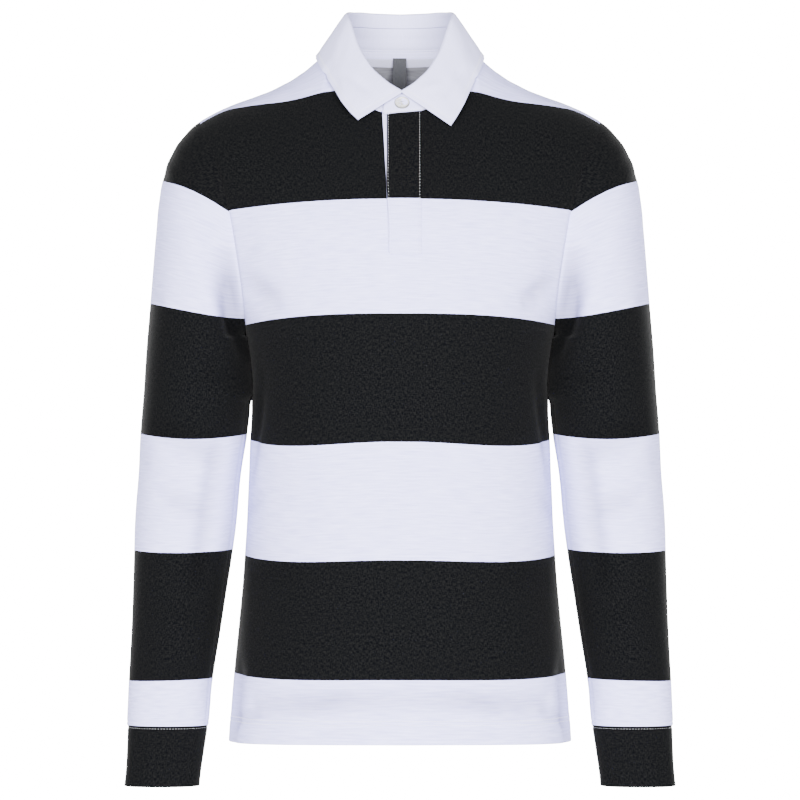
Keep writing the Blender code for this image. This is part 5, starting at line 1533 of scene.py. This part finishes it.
def inset_line(grid, off, inset):
    """A line inside the leaf's front and outer edges, with the way off the cloth."""
    along, down = run_along(grid, 1), run_along(grid, 0)
    sides = []
    for order, values, target in ((1, along, inset), (-1, along - along[:, -1:], -inset)):
        sides.append([])
        for row in range(LEAF_FOLD_ROW + 2, len(grid))[::order]:
            column, part = passing(values[row], target)
            if down[-1, column] - down[row, column] > inset:
                point = mix(grid[row, column - 1], grid[row, column], part)
                sides[-1].append((point, off[row, column]))
    around = []
    for column in range(grid.shape[1]):
        row, part = passing(down[:, column] - down[-1, column], -inset)
        if min(along[row, column], along[row, -1] - along[row, column]) > inset:
            around.append((mix(grid[row - 1, column], grid[row, column], part), off[row, column]))
    return sides[0] + around + sides[1]


leaf_points = leaf_grid(surface_of(*panels))
leaf_out = outward(leaf_points)
outer_part = (np.arange(len(leaf_points)) > LEAF_FOLD_ROW)[:, None]
leaf_x, leaf_y, leaf_z = leaf_points.transpose(2, 0, 1)
leaf_press = np.zeros_like(leaf_x)
for folds, near in ((LEAF_LEFT_FOLDS, (leaf_x > 0) & (leaf_y < 0)),
                    (LEAF_RIGHT_FOLDS, (leaf_x < 0) & (leaf_y < 0)), (LEAF_BACK_FOLDS, leaf_y > 0.02)):
    leaf_press += np.where(near, trough(folds, 1.0, leaf_x, leaf_z), 0.0)
leaf_press += LEAF_DIP * bell(from_edges(leaf_points) - sum(LEAF_STITCHES) / 2, LEAF_DIP_WIDTH)
leaf_points = leaf_points - leaf_out * (leaf_press * outer_part)[..., None]
leaf = cloth("collar_leaf_drill", leaf_points, LEAF_WALL, drill, run_along(leaf_points, 0), rounded=0.00035)
dressed(leaf, ["collar_leaf"], (0.46, 0.080), 0.0320)
sewn("leaf_stitches", [zip(*inset_line(leaf_points, leaf_out, inset)) for inset in LEAF_STITCHES],
     length=0.0020, gap=0.0008, half=0.00020)

# --- Neck tape ---------------------------------------------------------------------
# White herringbone tape, 10 mm wide, which covers the seam inside the back of the neck.
TAPE_WIDTH, TAPE_WALL, TAPE_GAP, TAPE_CELLS = 0.0100, 0.0008, 0.0002, 6
TAPE_REACH = NECK_CELLS - 1


def tape_grid():
    """Points of the tape's inner side, foot first, from the wearer's right to left."""
    middle = len(back_out) // 2
    off = outward(plain_back)
    columns = []
    for column in range(middle + TAPE_REACH, middle - TAPE_REACH - 1, -1):
        points, ways = plain_back[LAST_NECK_ROW::-1, column], off[LAST_NECK_ROW::-1, column]
        run, falls = line_run(points), np.linspace(TAPE_WIDTH, 0.0, TAPE_CELLS + 1)
        behind = on_line(falls, run, ways) * (JERSEY_WALL + TAPE_GAP + TAPE_WALL)
        columns.append(on_line(falls, run, points) - behind)
    return np.array(columns).transpose(1, 0, 2)


ZIGZAG, TAPE_YARN = 0.0024, 0.0012


def herringbone():
    """White tape woven in narrow zigzags."""
    material, place, across, along = cloth_paint("neck_tape", 0.9, 0.05)
    weave = waves(across + along.reckon("PINGPONG", ZIGZAG), TAPE_YARN)
    tone = weave * 0.3 + mottle(place, DRILL_NAP)
    colour = blend(tone, (0.42, 0.42, 0.58, 1.0), (0.56, 0.56, 0.76, 1.0))
    return coloured(material, colour, weave, 0.00012, 0.4)


tape_points = tape_grid()
tape = cloth("neck_tape_woven", tape_points, TAPE_WALL, herringbone(), rounded=0.0002)
dressed(tape, ["neck_tape"], (0.17, 0.010), 0.0016)

# --- Neck label ----------------------------------------------------------------------
# A plain woven grey label, caught in the seam at the back of the neck, hanging free.
LABEL_RIGHT_X, LABEL_LEFT_X = -0.0072, 0.0064
LABEL_LENGTH, LABEL_TOP, LABEL_Y, LABEL_WALL = 0.038, 0.0040, 0.0628, 0.0005
LABEL_CURL, LABEL_MIDDLE_X, LABEL_HALF = 0.0010, -0.0004, 0.0068
LABEL_WAVE, LABEL_WAVES, LABEL_LEAN = 0.0008, 4.2, 0.0012
LABEL_ROWS, LABEL_COLUMNS = 21, 11
label_rows = []
for step in range(LABEL_ROWS):
    fall = (1 - step / (LABEL_ROWS - 1)) * LABEL_LENGTH
    wave = LABEL_WAVE * math.sin(fall / LABEL_LENGTH * LABEL_WAVES)
    hang = LABEL_Y - wave - LABEL_LEAN * (fall / LABEL_LENGTH) ** 3
    across = np.linspace(LABEL_RIGHT_X, LABEL_LEFT_X, LABEL_COLUMNS)
    curl = LABEL_CURL * ((across - LABEL_MIDDLE_X) / LABEL_HALF) ** 2 * fall / LABEL_LENGTH
    label_rows.append([(x, hang - back, LABEL_TOP - fall) for x, back in zip(across, curl)])


LABEL_WARP, LABEL_WEFT = 0.00050, 0.00036


def woven_label():
    """Plain dark grey woven ribbon."""
    material, place, across, along = cloth_paint("grey_label", 0.7, 0.05)
    weave = waves(across, LABEL_WARP) * waves(along, LABEL_WEFT)
    tone = weave * 0.35 + mottle(place, (1500, 500, 1))
    colour = blend(tone, (0.030, 0.031, 0.034, 1.0), (0.075, 0.076, 0.082, 1.0))
    return coloured(material, colour, weave, 0.00008, 0.5)


label = cloth("neck_label_woven", np.array(label_rows), LABEL_WALL, woven_label())
dressed(label, ["neck_label"], (0.0136, 0.038), 0.00051)

# --- Button ----------------------------------------------------------------------------
# A four-hole resin button, 15 mm across, turned with a low rim and a shallow dish, sewn
# to the under end of the stand by a thread shank that comes through the buttonhole.
BUTTON_RADIUS, BUTTON_THICKNESS = 0.0075, 0.0022
BUTTON_RIM, BUTTON_DISH, BUTTON_EDGE = 0.0012, 0.0009, 0.0007
# The last of these is the width of a dark ring painted round the button's edge, as shade
BUTTON_FLOOR, BUTTON_FLOOR_DROP, BUTTON_SHADE_RING = 0.0009, 0.0001, 0.0006
HOLE_RADIUS, HOLE_APART = 0.00090, 0.0017
STRAND_RADIUS, STRAND_APART = 0.00011, 0.00015
SHANK_RADIUS, SHANK_LENGTH, SHANK_SINKS = 0.0029, 0.0012, 0.0002
BUTTON_DROP = 0.0015        # on its shank, under its own weight
button_low, button_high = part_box("button")
button_centre = (Vector(button_low) + Vector(button_high)) / 2 - Vector((0.0, 0.0, BUTTON_DROP))
lap_column = len(stand_points[0]) - 9
button_rise = stand_points[-1, lap_column] - stand_points[0, lap_column]
BUTTON_TILT = math.atan2(button_rise[2], button_rise[1])


def cylinder(name, radius, depth, place, corners):
    """A cylinder along Z, selected alone."""
    bpy.ops.object.select_all(action="DESELECT")
    bpy.ops.mesh.primitive_cylinder_add(vertices=corners, radius=radius, depth=depth, location=place)
    piece = bpy.context.active_object
    piece.name = name
    return piece


def pale_resin():
    """Off-white resin, clouded like shell, with a soft gloss, and a dark ring painted round its edge as
    shade.
    """
    material = paint("button", {"Roughness": 0.28, "Coat Weight": 0.25})
    tree, place = material.node_tree, own_place(material)
    face = blend(mottle(place, (420, 420, 420), 4.0) * 2.4 - 0.7,
                 (0.34, 0.335, 0.32, 1.0), (0.56, 0.555, 0.54, 1.0))
    reach = tree.nodes.new("ShaderNodeVectorMath")
    reach.operation = "DISTANCE"
    tree.links.new(place, reach.inputs[0])
    reach.inputs[1].default_value = button_centre
    # a dark ring painted round the edge, as shade
    rim = Tone(reach.outputs["Value"]).reckon("GREATER_THAN", BUTTON_RADIUS - BUTTON_SHADE_RING)
    colour = blend(rim, face, (0.11, 0.11, 0.105, 1.0))
    return coloured(material, colour, mottle(place, (900, 900, 900)), 0.00006, 0.3)


def turned_into_place(piece):
    """Lean a piece back and set it where the button is, with its place in its mesh."""
    only(piece)
    piece.rotation_euler = (BUTTON_TILT, 0.0, 0.0)
    piece.location = button_centre
    bpy.ops.object.transform_apply(location=True, rotation=True, scale=True)
    piece.data.shade_smooth()
    piece.data.set_sharp_from_angle(angle=math.radians(40))


# Thread for the button, near-black: real thread, and painted shade where it fills the holes
hole_shade_thread = spun_thread("grey_thread_hole_shade", {"Roughness": 0.6, "Specular IOR Level": 0.2},
                          (0.020, 0.020, 0.021, 1.0), (0.050, 0.050, 0.052, 1.0))
button = cylinder("button_turned", BUTTON_RADIUS, BUTTON_THICKNESS, (0.0, 0.0, 0.0), 64)
bpy.ops.object.mode_set(mode="EDIT")
bpy.ops.mesh.select_all(action="DESELECT")
bpy.ops.object.mode_set(mode="OBJECT")
for face in button.data.polygons:
    face.select = face.normal.z > 0.9
bpy.ops.object.mode_set(mode="EDIT")
bpy.ops.mesh.select_mode(type="FACE")
bpy.ops.mesh.inset(thickness=BUTTON_RIM)
bpy.ops.mesh.inset(thickness=BUTTON_RIM * 0.6)
bpy.ops.transform.translate(value=(0.0, 0.0, -BUTTON_DISH))
bpy.ops.mesh.inset(thickness=BUTTON_FLOOR)
bpy.ops.transform.translate(value=(0.0, 0.0, -BUTTON_FLOOR_DROP))
bpy.ops.object.mode_set(mode="OBJECT")
round_edges(button, BUTTON_EDGE, 3)
for x in (-HOLE_APART, HOLE_APART):
    for y in (-HOLE_APART, HOLE_APART):
        drill_bit = cylinder("drill_bit", HOLE_RADIUS, 0.01, (x, y, 0.0), 20)
        only(button)
        hole = button.modifiers.new("Hole", "BOOLEAN")
        hole.operation = "DIFFERENCE"
        hole.object = drill_bit
        bpy.ops.object.modifier_apply(modifier="Hole")
        bpy.data.objects.remove(drill_bit)
button.data.materials.clear()
button.data.materials.append(pale_resin())
button.data.materials.append(hole_shade_thread)
for face in button.data.polygons:       # the thread fills the holes; its near-black also stands for the shade down in them
    apart = math.hypot(abs(face.center.x) - HOLE_APART, abs(face.center.y) - HOLE_APART)
    face.material_index = 1 if apart < HOLE_RADIUS else 0
turned_into_place(button)
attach(button, "root")
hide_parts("button")

strands = []
for y in (-HOLE_APART, HOLE_APART):
    for step in (-STRAND_APART, STRAND_APART):
        place = (0.0, y + step, BUTTON_THICKNESS / 2 - BUTTON_DISH)
        strand = cylinder("strand", STRAND_RADIUS, 2 * HOLE_APART, place, 8)
        strand.rotation_euler = (0.0, math.pi / 2, 0.0)
        strands.append(strand)
shank_place = (0.0, 0.0, -(BUTTON_THICKNESS + SHANK_LENGTH) / 2 + SHANK_SINKS)
shank = cylinder("button_thread", SHANK_RADIUS, SHANK_LENGTH, shank_place, 16)
for strand in strands:
    strand.select_set(True)
bpy.ops.object.transform_apply(location=True, rotation=True, scale=True)
bpy.ops.object.join()
shank.data.materials.clear()
shank.data.materials.append(hole_shade_thread)
turned_into_place(shank)
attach(shank, "root")

# --- Floor, light and camera ----------------------------------------------------
# A pale floor below the shirt, two broad soft lights in front of it and two smaller ones
# behind, white all round, and a level camera.
CAMERA_DISTANCE, CAMERA_HEIGHT = 5.0, -0.342
camera_data = bpy.data.cameras.new("camera")
camera_data.lens = 225
camera_data.sensor_width = 36
camera = bpy.data.objects.new("camera", camera_data)
camera.location = (0.0, -CAMERA_DISTANCE, CAMERA_HEIGHT)
camera.rotation_euler = (math.pi / 2, 0.0, 0.0)
bpy.context.scene.collection.objects.link(camera)
bpy.context.scene.camera = camera

bpy.ops.object.select_all(action="DESELECT")
bpy.ops.mesh.primitive_plane_add(size=1.0, location=(0.0, -0.45, -0.800))
floor = bpy.context.active_object
floor.name = "floor"
floor.scale = (2.8, 1.9, 1.0)
bpy.ops.object.transform_apply(location=True, rotation=True, scale=True)
floor_paint = paint("floor_paint", {"Roughness": 0.9})
floor_tone = blend(mottle(own_place(floor_paint), (6, 6, 6), 3.0),
                   (0.80, 0.80, 0.80, 1.0), (0.84, 0.84, 0.84, 1.0))
floor.data.materials.append(coloured(floor_paint, floor_tone))

Lamp = namedtuple("Lamp", "x y size watts")
LAMPS = (
    Lamp(-1.0, -3.4, 1.7, 370), Lamp(1.0, -3.4, 1.7, 370),
    Lamp(-1.7, 2.6, 1.5, 240), Lamp(1.7, 2.6, 1.5, 240),
)
LAMP_HEIGHT, LAMP_AIM = 0.10, Vector((0.0, 0.0, -0.35))
for index, lamp in enumerate(LAMPS):
    light_data = bpy.data.lights.new(f"lamp_{index}", "AREA")
    light_data.shape = "DISK"
    light_data.size = lamp.size
    light_data.energy = lamp.watts
    light = bpy.data.objects.new(f"lamp_{index}", light_data)
    light.location = (lamp.x, lamp.y, LAMP_HEIGHT)
    light.rotation_euler = (LAMP_AIM - light.location).to_track_quat("-Z", "Y").to_euler()
    bpy.context.scene.collection.objects.link(light)

WORLD_LIGHT, WORLD_SEEN = 0.4, 18.0
world = bpy.data.worlds.new("studio")
world.use_nodes = True
backdrop = world.node_tree.nodes["Background"]
backdrop.inputs["Color"].default_value = (1.0, 1.0, 1.0, 1.0)
rays = Tone(world.node_tree.nodes.new("ShaderNodeLightPath").outputs["Is Camera Ray"])
put(backdrop.inputs["Strength"], rays * (WORLD_SEEN - WORLD_LIGHT) + WORLD_LIGHT)
bpy.context.scene.world = world
